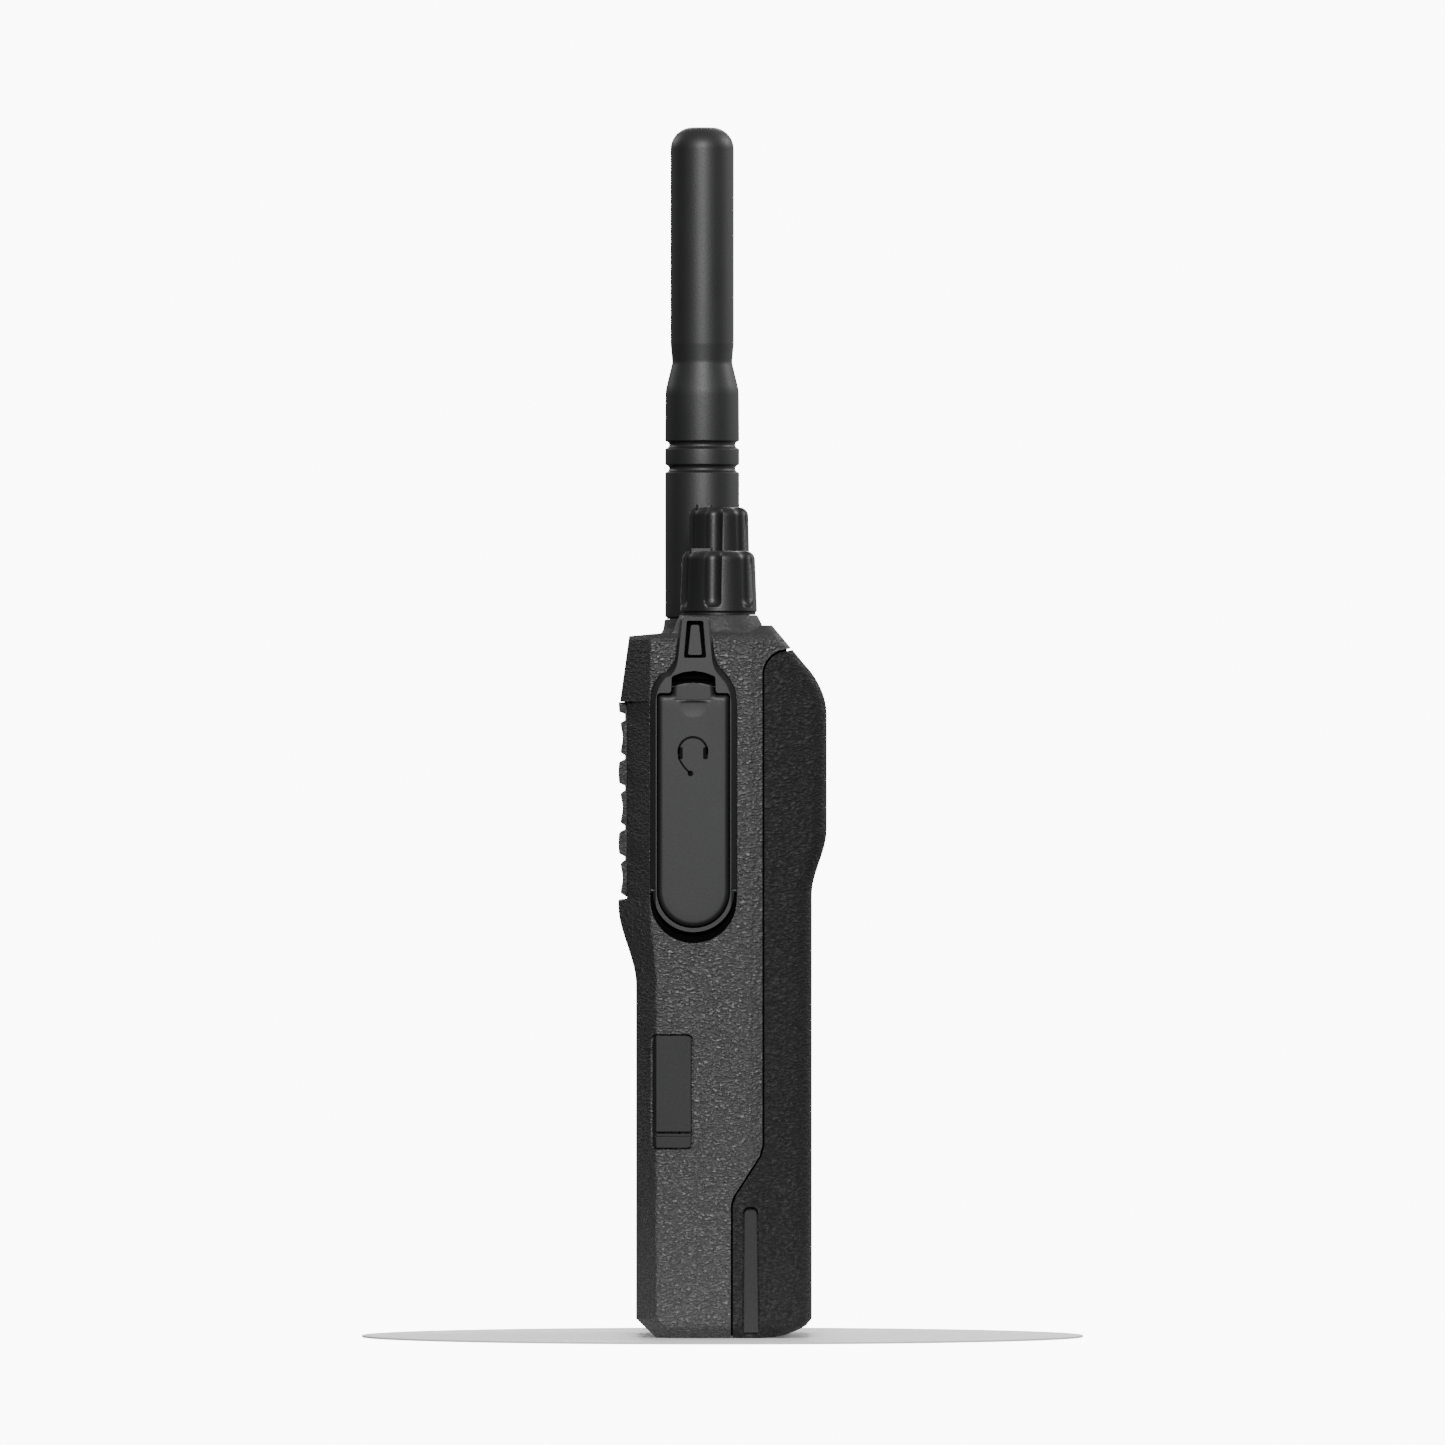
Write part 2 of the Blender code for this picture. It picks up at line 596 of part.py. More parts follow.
def frame_outline(grow=0.0):
    """Accessory frame in Y and Z: round bottom, straight sides, arch, and a neck to the top."""
    radius = FRAME_RADIUS + grow
    points = arc((COVER_Y, FRAME_LOW_CENTRE), radius, 180, 360, 10)
    points += arc((COVER_Y, FRAME_HIGH_CENTRE), radius, 0, 58, 4)
    neck = COVER_Y + 0.26
    points += [(neck + 3.5 + grow, 115.4), (neck + 2.5 + grow, 123.0), (neck + 2.0, 123.5 + grow)]
    points += [(neck - 2.0, 123.5 + grow), (neck - 2.5 - grow, 123.0), (neck - 3.5 - grow, 115.4)]
    points += arc((COVER_Y, FRAME_HIGH_CENTRE), radius, 122, 180, 4)
    return points


def cover_outline(grow=0.0):
    """Accessory cover in Y and Z: round bottom, shoulders and a narrower hinge tab."""
    half, tab = COVER_HALF + grow, TAB_HALF + grow
    points = arc((COVER_Y, COVER_LOW_CENTRE), half, 180, 360, 10)
    points += [(COVER_Y + half, COVER_SHOULDER - 0.4), (COVER_Y + half - 0.4, COVER_SHOULDER + 2 * grow)]
    top = TAB_TOP if grow == 0 else WINDOW_TOP
    shoulder = COVER_SHOULDER + 2 * grow
    points += [(COVER_Y + tab, shoulder), (COVER_Y + tab, top)]
    points += [(COVER_Y - tab, top), (COVER_Y - tab, shoulder)]
    points += [(COVER_Y - half + 0.4, shoulder), (COVER_Y - half, COVER_SHOULDER - 0.4)]
    return points


def make_accessory_side():
    frame = part("accessory_frame", prism(frame_outline(), "x", 26.9, PROUD_X), "smooth_plastic")
    combine(frame, prism(cover_outline(0.2), "x", 20, 40))
    window = [(-6.43, 116.5), (-2.97, 116.5), (-3.4, 122.6), (-6.0, 122.6)]
    combine(frame, prism(window, "x", 27.5, 40))
    scoop = arc((COVER_Y, FRAME_LOW_CENTRE), FRAME_RADIUS - 0.3, 215, 325, 8)
    scoop += arc((COVER_Y, COVER_LOW_CENTRE), 6.95, 322, 218, 8)
    combine(frame, prism(scoop, "x", 27.4, 40))
    x, z = COVER_HINGE
    combine(frame, cylinder(HINGE_HOLE_RADIUS, COVER_Y - 5.6, COVER_Y + 5.6, (x, 0, z), "y", 12))
    cover = part("accessory_cover", prism(cover_outline(), "x", 26.95, 28.2), "smooth_plastic", (x, COVER_Y, z))
    combine(cover, cylinder(HINGE_HOLE_RADIUS, COVER_Y - 9, COVER_Y + 9, (x, 0, z), "y", 12))
    part("accessory_hinge_pin", cylinder(HINGE_PIN_RADIUS, COVER_Y - 5.2, COVER_Y + 5.2, (x, 0, z), "y", 12), "steel", smooth=True)
    jack = part("accessory_jack", box((20.6, 26.3), (-10.2, -1.4), (79.8, 100.2)), "inner_plastic")
    sockets = [
        cylinder(1.8, 22.0, 30, (0, COVER_Y, 95.7), "x", 20),
        cylinder(1.3, 22.0, 30, (0, COVER_Y, 84.3), "x", 16),
        cylinder(0.9, 22.0, 30, (0, COVER_Y, 90.0), "x", 12),
    ]
    combine(jack, merged(*sockets))


def make_port_door():
    """A rubber flap over a small port, held along its lower edge."""
    x, z = DOOR_HINGE
    plan = [(26.6, -5.3), (HALF_WIDTH, -5.3), (HALF_WIDTH, -11.2), (26.9, -11.95), (26.6, -11.95)]
    part("port_door", prism(plan, "z", 35.6, 51.7), "smooth_plastic", (x, -8.6, z))
    part("port_door_anchor", prism(plan, "z", 32.6, 35.0), "smooth_plastic")
    port = part("port_socket", box((20.6, 26.2), (-10.2, -6.4), (38.0, 48.0)), "steel")
    combine(port, box((21.6, 30), (-9.6, -7.0), (38.8, 47.2)))


# --- push-to-talk side, -X ---


def bezel_outline(grow=0.0):
    low, high = BEZEL_SPAN
    return rounded((PTT_Y - 6.6 - grow, low - grow), (PTT_Y + 6.6 + grow, high + grow), 3.0)


def button_outline(span, grow=0.0):
    half = 5.0 + grow
    return rounded((PTT_Y - half, span[0] - grow), (PTT_Y + half, span[1] + grow), 2.2, 3)


def make_side_button(name, span, crown):
    """A side button with a retaining flange behind the bezel and a crowned face."""
    button = part(name, prism(button_outline(span), "x", -crown, BUTTON_BACK), "rubber", (-crown, PTT_Y, sum(span) / 2))
    combine(button, prism(button_outline(span, 0.6), "x", -26.6, BUTTON_BACK), "UNION")


def make_push_to_talk_side():
    bezel = part("ptt_bezel", prism(bezel_outline(), "x", -27.9, -26.9), "smooth_plastic")
    for span in (PTT_SPAN, UPPER_BUTTON_SPAN, LOWER_BUTTON_SPAN):
        combine(bezel, prism(button_outline(span, 0.3), "x", -40, -20))
    make_side_button("ptt_button", PTT_SPAN, PROUD_X)
    make_side_button("upper_side_button", UPPER_BUTTON_SPAN, 28.2)
    make_side_button("lower_side_button", LOWER_BUTTON_SPAN, 28.2)
    board = part("side_switch_board", box((-22.6, -21.8), (PTT_Y - 3.5, PTT_Y + 2.5), (64.0, 100.0)), "circuit_board")
    for span, reach in ((PTT_SPAN, -25.5), (UPPER_BUTTON_SPAN, -25.6), (LOWER_BUTTON_SPAN, -25.6)):
        middle = 90.0 if span == PTT_SPAN else sum(span) / 2
        dome = box((reach, -22.0), (PTT_Y - 1.8, PTT_Y + 1.8), (middle - 1.8, middle + 1.8))
        combine(board, dome, "UNION")


# --- battery ---


def make_battery_case():
    case = part("battery_case", body_envelope(), "textured_plastic")
    ahead = parting_line(GAP / 2)
    combine(case, prism([*ahead, (60, 118.5), (60, 160), (-60, 160), (-60, -5)], "x", -40, 40))
    hollow = parting_line(-0.5)[:5] + [(PART_UPPER - 0.5, 110.5), (13.6, 110.5), (13.6, 4.0), (12.0, 2.0), (-2.0, 2.0)]
    hollow[0] = (PART_LOWER - 3.0, 2.0)
    combine(case, prism(hollow[:-1], "x", -24.2, 24.2))
    combine(case, box((-5.3, 5.3), (5.0, 12.4), (-3, 3)))
    groove = [(3.3, -2), (6.5, -2), (6.5, 0)] + arc((4.8, 21.2), 1.3, 0, 180, 6) + [(3.3, 0)]
    for side in (-1, 1):
        combine(case, side_hole(groove, side, 26.3))
    clip_holes = [cylinder(1.25, 14.4, 30, (x, 0, 97.0), "y", 16) for x in (-9.0, 9.0)]
    combine(case, merged(*clip_holes))
    charge = [cylinder(1.7, -3, 3, (x, 6.6, 0), segments=20) for x in (-13.0, 13.0)]
    combine(case, merged(*charge))


def make_battery_cover():
    """Plate that closes the battery towards the chassis, with T-lugs and contact seats."""
    front = [(1.75, 2.3), (1.75, 23.0), (2.25, 24.3), (6.65, 31.1), (7.15, 33.0), (7.15, 110.2)]
    back = [(8.65, 110.2), (8.65, 32.6), (8.1, 30.4), (3.7, 23.8), (3.35, 22.6), (3.35, 2.3)]
    cover = part("battery_cover", prism(front + back, "x", -23.9, 23.9), "inner_plastic")
    for row in LUG_ROWS:
        for x in (-LUG_X, LUG_X):
            combine(cover, box((x - 1.1, x + 1.1), (4.7, 7.6), (row, row + LUG_HEIGHT)), "UNION")
            combine(cover, box((x - 2.5, x + 2.5), (4.3, 5.2), (row, row + LUG_HEIGHT)), "UNION")
    pads = merged(*(box((x - 1.9, x + 1.9), (6, 8.15), (CONTACT_Z - 3.3, CONTACT_Z + 3.3)) for x in CONTACT_X))
    combine(cover, pads)
    combine(cover, box((-3.1, 3.1), (0, 5), (4.7, 7.7)))


def make_battery_inside():
    for name, side in (("battery_cell_left", -1), ("battery_cell_right", 1)):
        near, far = sorted((side * CELL_HALF_GAP, side * (CELL_HALF_GAP + CELL_WIDTH)))
        outline = rounded((near, 9.0), (far, 13.3), 1.6, 4)
        part(name, prism(outline, "z", 35.0, 108.0), "cell_wrap")
    part("battery_board", box((-22.0, 22.0), (9.2, 10.4), (14.0, 34.0)), "circuit_board")
    for number, x in enumerate(CONTACT_X, 1):
        pad = box((x - 1.6, x + 1.6), (7.35, 7.85), (CONTACT_Z - 3.0, CONTACT_Z + 3.0))
        part(f"battery_pad_{number}", pad, "brass")
    for number, x in enumerate((-13.0, 13.0), 1):
        profile = [(0, 0.4), (1.4, 0.4), (1.4, 2.3), (2.4, 2.3), (2.4, 3.1), (0, 3.1)]
        part(f"charge_contact_{number}", turned(profile, (x, 6.6, 0), segments=20), "brass", smooth=True)


def make_contact_block():
    z = CONTACT_Z
    part("contact_block", box((-7.0, 7.0), (-0.6, 6.0), (z - 4.0, z + 4.0)), "inner_plastic")
    for number, x in enumerate(CONTACT_X, 1):
        bow = [(6.3, z - 2.6), (6.5, z - 2.6), (7.0, z), (6.5, z + 2.6), (6.3, z + 2.6), (6.75, z)]
        part(f"contact_spring_{number}", prism(bow, "x", x - 1.2, x + 1.2), "brass")


def make_battery_latch():
    """A thumb slide in the base that draws a spring tongue out of the chassis."""
    latch = part("battery_latch", box((-5.0, 5.0), (5.4, 10.0), (0.5, 1.6)), "smooth_plastic", (0, 7.7, 1.0))
    combine(latch, box((-2.4, 2.4), (6.0, 9.0), (1.2, 6.0)), "UNION")
    combine(latch, box((-6.3, 6.3), (4.7, 9.5), (2.4, 3.4)), "UNION")
    combine(latch, box((-3.0, 3.0), (4.2, 9.5), (4.9, 7.4)), "UNION")
    part("latch_tongue", box((-2.6, 2.6), (-0.1, 3.9), (5.1, 7.2)), "steel")
    spring = coil(0.8, 0.17, 9.9, 13.2, 4, (0, 0, 6.1), "y", per_turn=8, sides=4)
    part("latch_spring", spring, "steel")


def clear_scene():
    for item in list(bpy.data.objects):
        bpy.data.objects.remove(item, do_unlink=True)


def main():
    clear_scene()
    make_front_housing()
    make_speaker_grille()
    make_speaker()
    make_microphone()
    make_status_lens()
    make_main_board()
    make_chassis()
    make_chassis_screws()
    make_rotary("volume", VOLUME_AXIS, VOLUME_TOP, (6.24, 6.6), 110.5)
    make_rotary("channel", CHANNEL_AXIS, CHANNEL_TOP, (5.1, 5.5), 109.0)
    make_antenna()
    make_accessory_side()
    make_port_door()
    make_push_to_talk_side()
    make_battery_case()
    make_battery_cover()
    make_battery_inside()
    make_contact_block()
    make_battery_latch()


main()
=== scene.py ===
"""Looks of a portable two-way radio: moulded shells, fluted knobs, antenna, covers, finishes, studio.

Lengths are in millimetres and become metres where a mesh is made. The radio's front faces -Y, its
battery +Y, the accessory cover +X and the push-to-talk button -X.
"""

import math

import bmesh
import bpy
from mathutils import Matrix, Vector


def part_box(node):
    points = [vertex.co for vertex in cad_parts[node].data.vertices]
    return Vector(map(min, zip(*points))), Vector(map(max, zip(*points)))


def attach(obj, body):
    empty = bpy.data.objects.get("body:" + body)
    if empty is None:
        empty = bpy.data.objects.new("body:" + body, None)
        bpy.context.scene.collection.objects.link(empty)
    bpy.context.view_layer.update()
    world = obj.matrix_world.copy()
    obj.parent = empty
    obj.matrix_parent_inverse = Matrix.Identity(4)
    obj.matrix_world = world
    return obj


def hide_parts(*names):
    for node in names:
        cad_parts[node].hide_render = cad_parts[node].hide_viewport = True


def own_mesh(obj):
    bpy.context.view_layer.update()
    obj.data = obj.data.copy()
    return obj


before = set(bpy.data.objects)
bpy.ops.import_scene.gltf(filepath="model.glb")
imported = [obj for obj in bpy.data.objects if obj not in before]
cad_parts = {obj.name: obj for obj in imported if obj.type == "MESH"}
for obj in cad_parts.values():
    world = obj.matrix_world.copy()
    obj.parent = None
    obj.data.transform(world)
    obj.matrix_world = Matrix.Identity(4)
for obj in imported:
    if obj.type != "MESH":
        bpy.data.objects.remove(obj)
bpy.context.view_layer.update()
MM = 0.001
CLOSE = 0.004 * MM  # points nearer than this are one point
SHARP_ANGLE = math.radians(32)  # edges that turn further than this are shaded sharp


def span(node):
    """A CAD node's lowest and highest corner, in millimetres."""
    low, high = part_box(node)
    return low / MM, high / MM


def middle(node):
    """The middle of a CAD node's box, in millimetres."""
    low, high = span(node)
    return (low + high) / 2


# ---------------------------------------------------------------- outlines


def arc(centre, radius, start, end, steps):
    """Points on a circle between two angles in degrees, both ends included."""
    points = []
    for step in range(steps + 1):
        angle = math.radians(start + (end - start) * step / steps)
        points.append((centre[0] + radius * math.cos(angle), centre[1] + radius * math.sin(angle)))
    return points


def rounded_path(corners, steps=6, closed=True):
    """An outline with its corners rounded. Each corner is (a, b, radius); radius 0 stays sharp."""
    points = []
    count = len(corners)
    for index, (a, b, radius) in enumerate(corners):
        at_end = not closed and index in (0, count - 1)
        if radius == 0 or at_end:
            points.append((a, b))
            continue
        here = Vector((a, b))
        before = Vector(corners[index - 1][:2]) - here
        after = Vector(corners[(index + 1) % count][:2]) - here
        points += corner_arc(here, before, after, radius, steps)
    return points


def corner_points(start, corner, end, steps):
    """A smooth bend from start to end that heads for the corner between them."""
    start, corner, end = Vector(start), Vector(corner), Vector(end)
    points = []
    for step in range(steps + 1):
        t = step / steps
        points.append(tuple((1 - t) ** 2 * start + 2 * t * (1 - t) * corner + t * t * end))
    return points


def corner_arc(here, before, after, radius, steps):
    """The round that replaces one corner, shortened where its sides are too short for it."""
    half = before.angle(after) / 2
    if half > math.radians(89.5):
        return [tuple(here)] * (steps + 1)
    reach = radius / math.tan(half)
    reach = min(reach, before.length * 0.49, after.length * 0.49)
    return corner_points(here + before.normalized() * reach, here, here + after.normalized() * reach, steps)


def oblong(low, high, radius, steps=6):
    """A rectangle with round corners, anticlockwise."""
    (a0, b0), (a1, b1) = low, high
    return rounded_path([(a0, b0, radius), (a1, b0, radius), (a1, b1, radius), (a0, b1, radius)], steps)


def smooth_step(value, low, high):
    """0 below low, 1 above high, and an S-curve between."""
    t = min(max((value - low) / (high - low), 0.0), 1.0)
    return t * t * (3 - 2 * t)


# ---------------------------------------------------------------- meshes


def bridge(bm, first, second):
    """Side faces between two closed rings of equal length."""
    count = len(first)
    for i in range(count):
        j = (i + 1) % count
        bm.faces.new((first[i], first[j], second[j], second[i]))


def loft(rings, cap=True):
    """A solid through rings of 3D points."""
    bm = bmesh.new()
    made = [[bm.verts.new(point) for point in ring] for ring in rings]
    for first, second in zip(made, made[1:]):
        bridge(bm, first, second)
    if cap:
        bm.faces.new(made[0])
        bm.faces.new(list(reversed(made[-1])))
    else:
        bridge(bm, made[-1], made[0])
    return bm


PLACES = {
    "x": lambda a, b, t: (t, a, b),
    "y": lambda a, b, t: (a, t, b),
    "z": lambda a, b, t: (a, b, t),
}


def prism(points, axis, low, high):
    """A straight extrusion. Points are the two other coordinates, in X, Y, Z order."""
    place = PLACES[axis]
    return loft([[place(a, b, t) for a, b in points] for t in (low, high)])


def box(x, y, z):
    """A block between pairs of coordinates."""
    return prism([(x[0], y[0]), (x[1], y[0]), (x[1], y[1]), (x[0], y[1])], "z", z[0], z[1])


def turned(profile, centre=(0, 0, 0), axis="z", segments=96, closed=False):
    """A solid of revolution about Z or Y; ends of the profile at radius 0 become small flat caps."""
    rings = []
    for radius, height in profile:
        radius = max(radius, 0.01)
        ring = []
        for step in range(segments):
            angle = 2 * math.pi * step / segments
            ring.append((radius * math.cos(angle), radius * math.sin(angle), height))
        rings.append(ring)
    bm = loft(rings, cap=not closed)
    turn = {"z": 0, "y": -90}[axis]
    matrix = Matrix.Translation(Vector(centre)) @ Matrix.Rotation(math.radians(turn), 4, "X")
    bmesh.ops.transform(bm, matrix=matrix, verts=bm.verts)
    return bm


def cylinder(radius, low, high, centre, axis="z", segments=48):
    """A plain round bar."""
    return turned([(radius, low), (radius, high)], centre, axis, segments)


def merged(shapes):
    """Several separate shapes in one mesh."""
    bm = bmesh.new()
    for shape in shapes:
        held = bpy.data.meshes.new("held")
        shape.to_mesh(held)
        shape.free()
        bm.from_mesh(held)
        bpy.data.meshes.remove(held)
    return bm


def raw_object(name, bm):
    """An object in metres from a mesh in millimetres, with its normals outward."""
    bmesh.ops.recalc_face_normals(bm, faces=bm.faces)
    bmesh.ops.scale(bm, verts=bm.verts, vec=(MM, MM, MM))
    mesh = bpy.data.meshes.new(name)
    bm.to_mesh(mesh)
    bm.free()
    made = bpy.data.objects.new(name, mesh)
    bpy.context.scene.collection.objects.link(made)
    return made


def plain(piece):
    """Bakes the piece's modifiers into its mesh."""
    bpy.context.view_layer.update()
    evaluated = piece.evaluated_get(bpy.context.evaluated_depsgraph_get())
    mesh = bpy.data.meshes.new_from_object(evaluated)
    mesh.name = piece.name
    piece.modifiers.clear()
    piece.data = mesh
    return piece


def absorbed(piece, other, operation):
    """Joins or cuts one object with another and removes the other."""
    modifier = piece.modifiers.new("absorb", "BOOLEAN")
    modifier.operation = operation
    modifier.solver = "EXACT"
    modifier.object = other
    plain(piece)
    bpy.data.objects.remove(other, do_unlink=True)


def combine(piece, bm, operation="DIFFERENCE"):
    """Cuts or joins a shape into the piece."""
    absorbed(piece, raw_object("operand", bm), operation)


def cut_through(piece, outline, start=20, end=40):
    """Cuts an outline given in Y and Z through the piece, along X."""
    combine(piece, prism(outline, "x", start, end))


def soften(piece, width, segments=2, angle=28):
    """Rounds the piece's edges, as a moulding tool does."""
    bm = bmesh.new()
    bm.from_mesh(piece.data)
    bmesh.ops.remove_doubles(bm, verts=bm.verts, dist=CLOSE)
    bmesh.ops.dissolve_degenerate(bm, edges=bm.edges, dist=CLOSE)
    bm.to_mesh(piece.data)
    bm.free()
    modifier = piece.modifiers.new("soften", "BEVEL")
    modifier.width = width * MM
    modifier.segments = segments
    modifier.limit_method = "ANGLE"
    modifier.angle_limit = math.radians(angle)
    modifier.use_clamp_overlap = True
    modifier.miter_outer = "MITER_ARC"
    flat = piece.modifiers.new("flat", "WEIGHTED_NORMAL")
    flat.weight = 90
    piece.data.shade_smooth()
    plain(piece)


def finished(piece, material, body, nodes=()):
    """Shades, paints and attaches a piece, and hides the CAD nodes that it stands for."""
    piece.data.materials.clear()
    piece.data.materials.append(material)
    piece.data.shade_smooth()
    piece.data.set_sharp_from_angle(angle=SHARP_ANGLE)
    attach(piece, body)
    if nodes:
        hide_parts(*nodes)


# ---------------------------------------------------------------- shader tools


class Value:
    """A number socket that can be used in Python arithmetic."""

    def __init__(self, nodes, socket):
        self.nodes = nodes
        self.socket = socket

    def math(self, operation, *others):
        node = self.nodes.node("Math", {"operation": operation}, dict(enumerate((self, *others))))
        return Value(self.nodes, node.outputs[0])

    def __add__(self, other):
        return self.math("ADD", other)

    def __sub__(self, other):
        return self.math("SUBTRACT", other)

    def __rsub__(self, other):
        return (self * -1.0).math("ADD", other)

    def __mul__(self, other):
        return self.math("MULTIPLY", other)

    def high(self, other):
        return self.math("MAXIMUM", other)

    def ramp(self, low, high, start=0.0, end=1.0):
        """start below low and end above high, with a smooth change between."""
        settings = {"interpolation_type": "SMOOTHSTEP"}
        inputs = {"Value": self, "From Min": low, "From Max": high, "To Min": start, "To Max": end}
        return Value(self.nodes, self.nodes.node("MapRange", settings, inputs).outputs[0])

    __radd__ = __add__
    __rmul__ = __mul__


class Nodes:
    """Makes the nodes of one tree, all of one family."""

    def __init__(self, tree, family="ShaderNode"):
        self.tree = tree
        self.family = family

    def node(self, kind, settings=None, inputs=None):
        """Makes a node: settings first, then the values or links of its sockets."""
        made = self.tree.nodes.new(self.family + kind)
        for key, value in (settings or {}).items():
            setattr(made, key, value)
        for key, value in (inputs or {}).items():
            self.feed(made.inputs[key], value)
        return made

    def feed(self, socket, value):
        """Links a socket, or sets its value."""
        if isinstance(value, Value):
            value = value.socket
        if isinstance(value, bpy.types.NodeSocket):
            self.tree.links.new(value, socket)
        else:
            socket.default_value = value


class Finish(Nodes):
    """A material under construction, on the piece's own coordinates."""

    def __init__(self, name, roughness=0.5, metallic=0.0, **constants):
        self.material = bpy.data.materials.new(name)
        self.material.use_nodes = True
        super().__init__(self.material.node_tree)
        self.shader = self.tree.nodes["Principled BSDF"]
        self.shader.inputs["Roughness"].default_value = roughness
        self.shader.inputs["Metallic"].default_value = metallic
        for key, value in constants.items():
            self.shader.inputs[key.replace("_", " ")].default_value = value
        self.place = self.node("TexCoord").outputs["Object"]

    def set(self, name, value):
        self.feed(self.shader.inputs[name], value)

    def stretched(self, scale, turn=(0, 0, 0)):
        """The piece's coordinates, scaled and turned."""
        node = self.node("Mapping", {}, {"Vector": self.place, "Rotation": turn, "Scale": scale})
        return node.outputs[0]

    def noise(self, size, detail=2.0, vector=None, roughness=0.5, distortion=0.0):
        """Soft noise between 0 and 1 whose features are about size millimetres."""
        inputs = {
            "Vector": vector or self.place,
            "Scale": 1.0 / (size * MM),
            "Detail": detail,
            "Roughness": roughness,
            "Distortion": distortion,
        }
        return Value(self, self.node("TexNoise", {}, inputs).outputs[0])

    def cells(self, size, randomness=1.0):
        """Distance pattern of cells about size millimetres across."""
        inputs = {"Vector": self.place, "Scale": 1.0 / (size * MM), "Randomness": randomness}
        return Value(self, self.node("TexVoronoi", {"feature": "F1"}, inputs).outputs["Distance"])

    def wave(self, size, direction, distortion=0.0):
        """Even bands of the given spacing in millimetres."""
        settings = {"wave_type": "BANDS", "bands_direction": direction}
        inputs = {"Vector": self.place, "Scale": 0.31 / (size * MM), "Distortion": distortion}
        return Value(self, self.node("TexWave", settings, inputs).outputs["Fac"])

    def mix(self, factor, first, second):
        """A colour between two colours."""
        node = self.node("Mix", {"data_type": "RGBA"})
        for socket, value in ((node.inputs[0], factor), (node.inputs[6], first), (node.inputs[7], second)):
            self.feed(socket, (*value, 1.0) if isinstance(value, tuple) else value)
        return node.outputs[2]

    def axis(self, name):
        """One coordinate of the piece, in millimetres."""
        node = self.node("SeparateXYZ", {}, {0: self.place})
        return Value(self, node.outputs[name]) * (1.0 / MM)

    def edges(self, width):
        """A mask that is 1 on outer edges and 0 on flat areas."""
        around = self.node("Bevel", {"samples": 4}, {"Radius": width * MM}).outputs[0]
        plain_normal = self.node("NewGeometry").outputs["Normal"]
        settings = {"operation": "DOT_PRODUCT"}
        likeness = self.node("VectorMath", settings, {0: around, 1: plain_normal}).outputs["Value"]
        return (1.0 - Value(self, likeness)).ramp(0.01, 0.16)

    def bump(self, height, depth):
        """Relief whose height runs from 0 to 1 over depth millimetres."""
        inputs = {"Height": height, "Distance": depth * MM, "Strength": 1.0}
        return self.node("Bump", {}, inputs).outputs[0]


# ---------------------------------------------------------------- finishes

CHARCOAL = (0.012, 0.0122, 0.0126)
CHARCOAL_WORN = (0.03, 0.0305, 0.0315)


def tinted(colour, strength):
    """A colour made darker or lighter."""
    return tuple(min(c * strength, 1.0) for c in colour)


def leather_grain_plastic(name, colour=CHARCOAL, size=1.15, depth=0.17, roughness=0.35, sheen=1.0):
    """Moulded shell with a spark-eroded leather grain, fainter on the raised collars on top."""
    finish = Finish(name, Specular_IOR_Level=sheen)
    along = finish.stretched((1.0, 1.0, 1.9), (0.12, 0.0, 0.0))
    bent = finish.node("VectorMath", {"operation": "MULTIPLY_ADD"}, {
        0: finish.node("TexNoise", {}, {"Vector": finish.place, "Scale": 700.0}).outputs["Color"],
        1: (0.0004, 0.0004, 0.0004),
        2: along,
    }).outputs[0]
    wrinkles = (finish.noise(size, 2.0, bent, 0.5) - 0.5).math("ABSOLUTE").ramp(0.0, 0.15)
    lumps = finish.noise(size * 0.75, 2.0, bent, 0.5).ramp(0.25, 0.75)
    grained = 1.0 - finish.axis("Z").ramp(119.9, 120.9)
    relief = (wrinkles * 0.5 + lumps * 0.5) * (grained * 0.65 + 0.35)
    cloud = finish.noise(14.0, 2.0)
    rubbed = finish.edges(0.35) * finish.noise(3.0).ramp(0.35, 0.75)
    shade = relief * 0.75 + cloud * 0.25
    ground = finish.mix(shade, tinted(colour, 0.3), tinted(colour, 2.2))
    finish.set("Base Color", finish.mix(rubbed * 0.4, ground, CHARCOAL_WORN))
    finish.set("Roughness", roughness + 0.36 - relief * 0.36 + cloud * 0.06 - rubbed * 0.06)
    finish.set("Normal", finish.bump(relief, depth))
    return finish.material


def satin_plastic(name, colour, roughness, size=0.22):
    """Smooth moulded trim with a very fine satin texture."""
    finish = Finish(name, Specular_IOR_Level=0.5)
    fine = finish.noise(size, 2.0)
    cloud = finish.noise(9.0, 3.0)
    rubbed = finish.edges(0.25) * finish.noise(2.0).ramp(0.3, 0.7)
    ground = finish.mix(cloud, tinted(colour, 0.85), tinted(colour, 1.15))
    finish.set("Base Color", finish.mix(rubbed * 0.45, ground, CHARCOAL_WORN))
    finish.set("Roughness", roughness + (fine - 0.5) * 0.16 + (cloud - 0.5) * 0.1)
    finish.set("Normal", finish.bump(fine, 0.012))
    return finish.material


def fine_grain_rubber(name, colour, roughness, size, depth, sheen=0.6):
    """Moulded rubber with a fine sandy surface."""
    finish = Finish(name, Specular_IOR_Level=sheen)
    grain = finish.noise(size, 3.0, roughness=0.65)
    pits = finish.cells(size * 0.9).ramp(0.0, 0.6)
    relief = grain * 0.7 + pits * 0.3
    cloud = finish.noise(11.0, 2.0)
    ground = finish.mix(cloud * 0.5 + relief * 0.5, tinted(colour, 0.75), tinted(colour, 1.3))
    rubbed = finish.edges(0.3) * finish.noise(1.6).ramp(0.4, 0.7)
    finish.set("Base Color", finish.mix(rubbed * 0.35, ground, CHARCOAL_WORN))
    finish.set("Roughness", roughness + (relief - 0.5) * -0.15 + (cloud - 0.5) * 0.1)
    finish.set("Normal", finish.bump(relief, depth))
    return finish.material


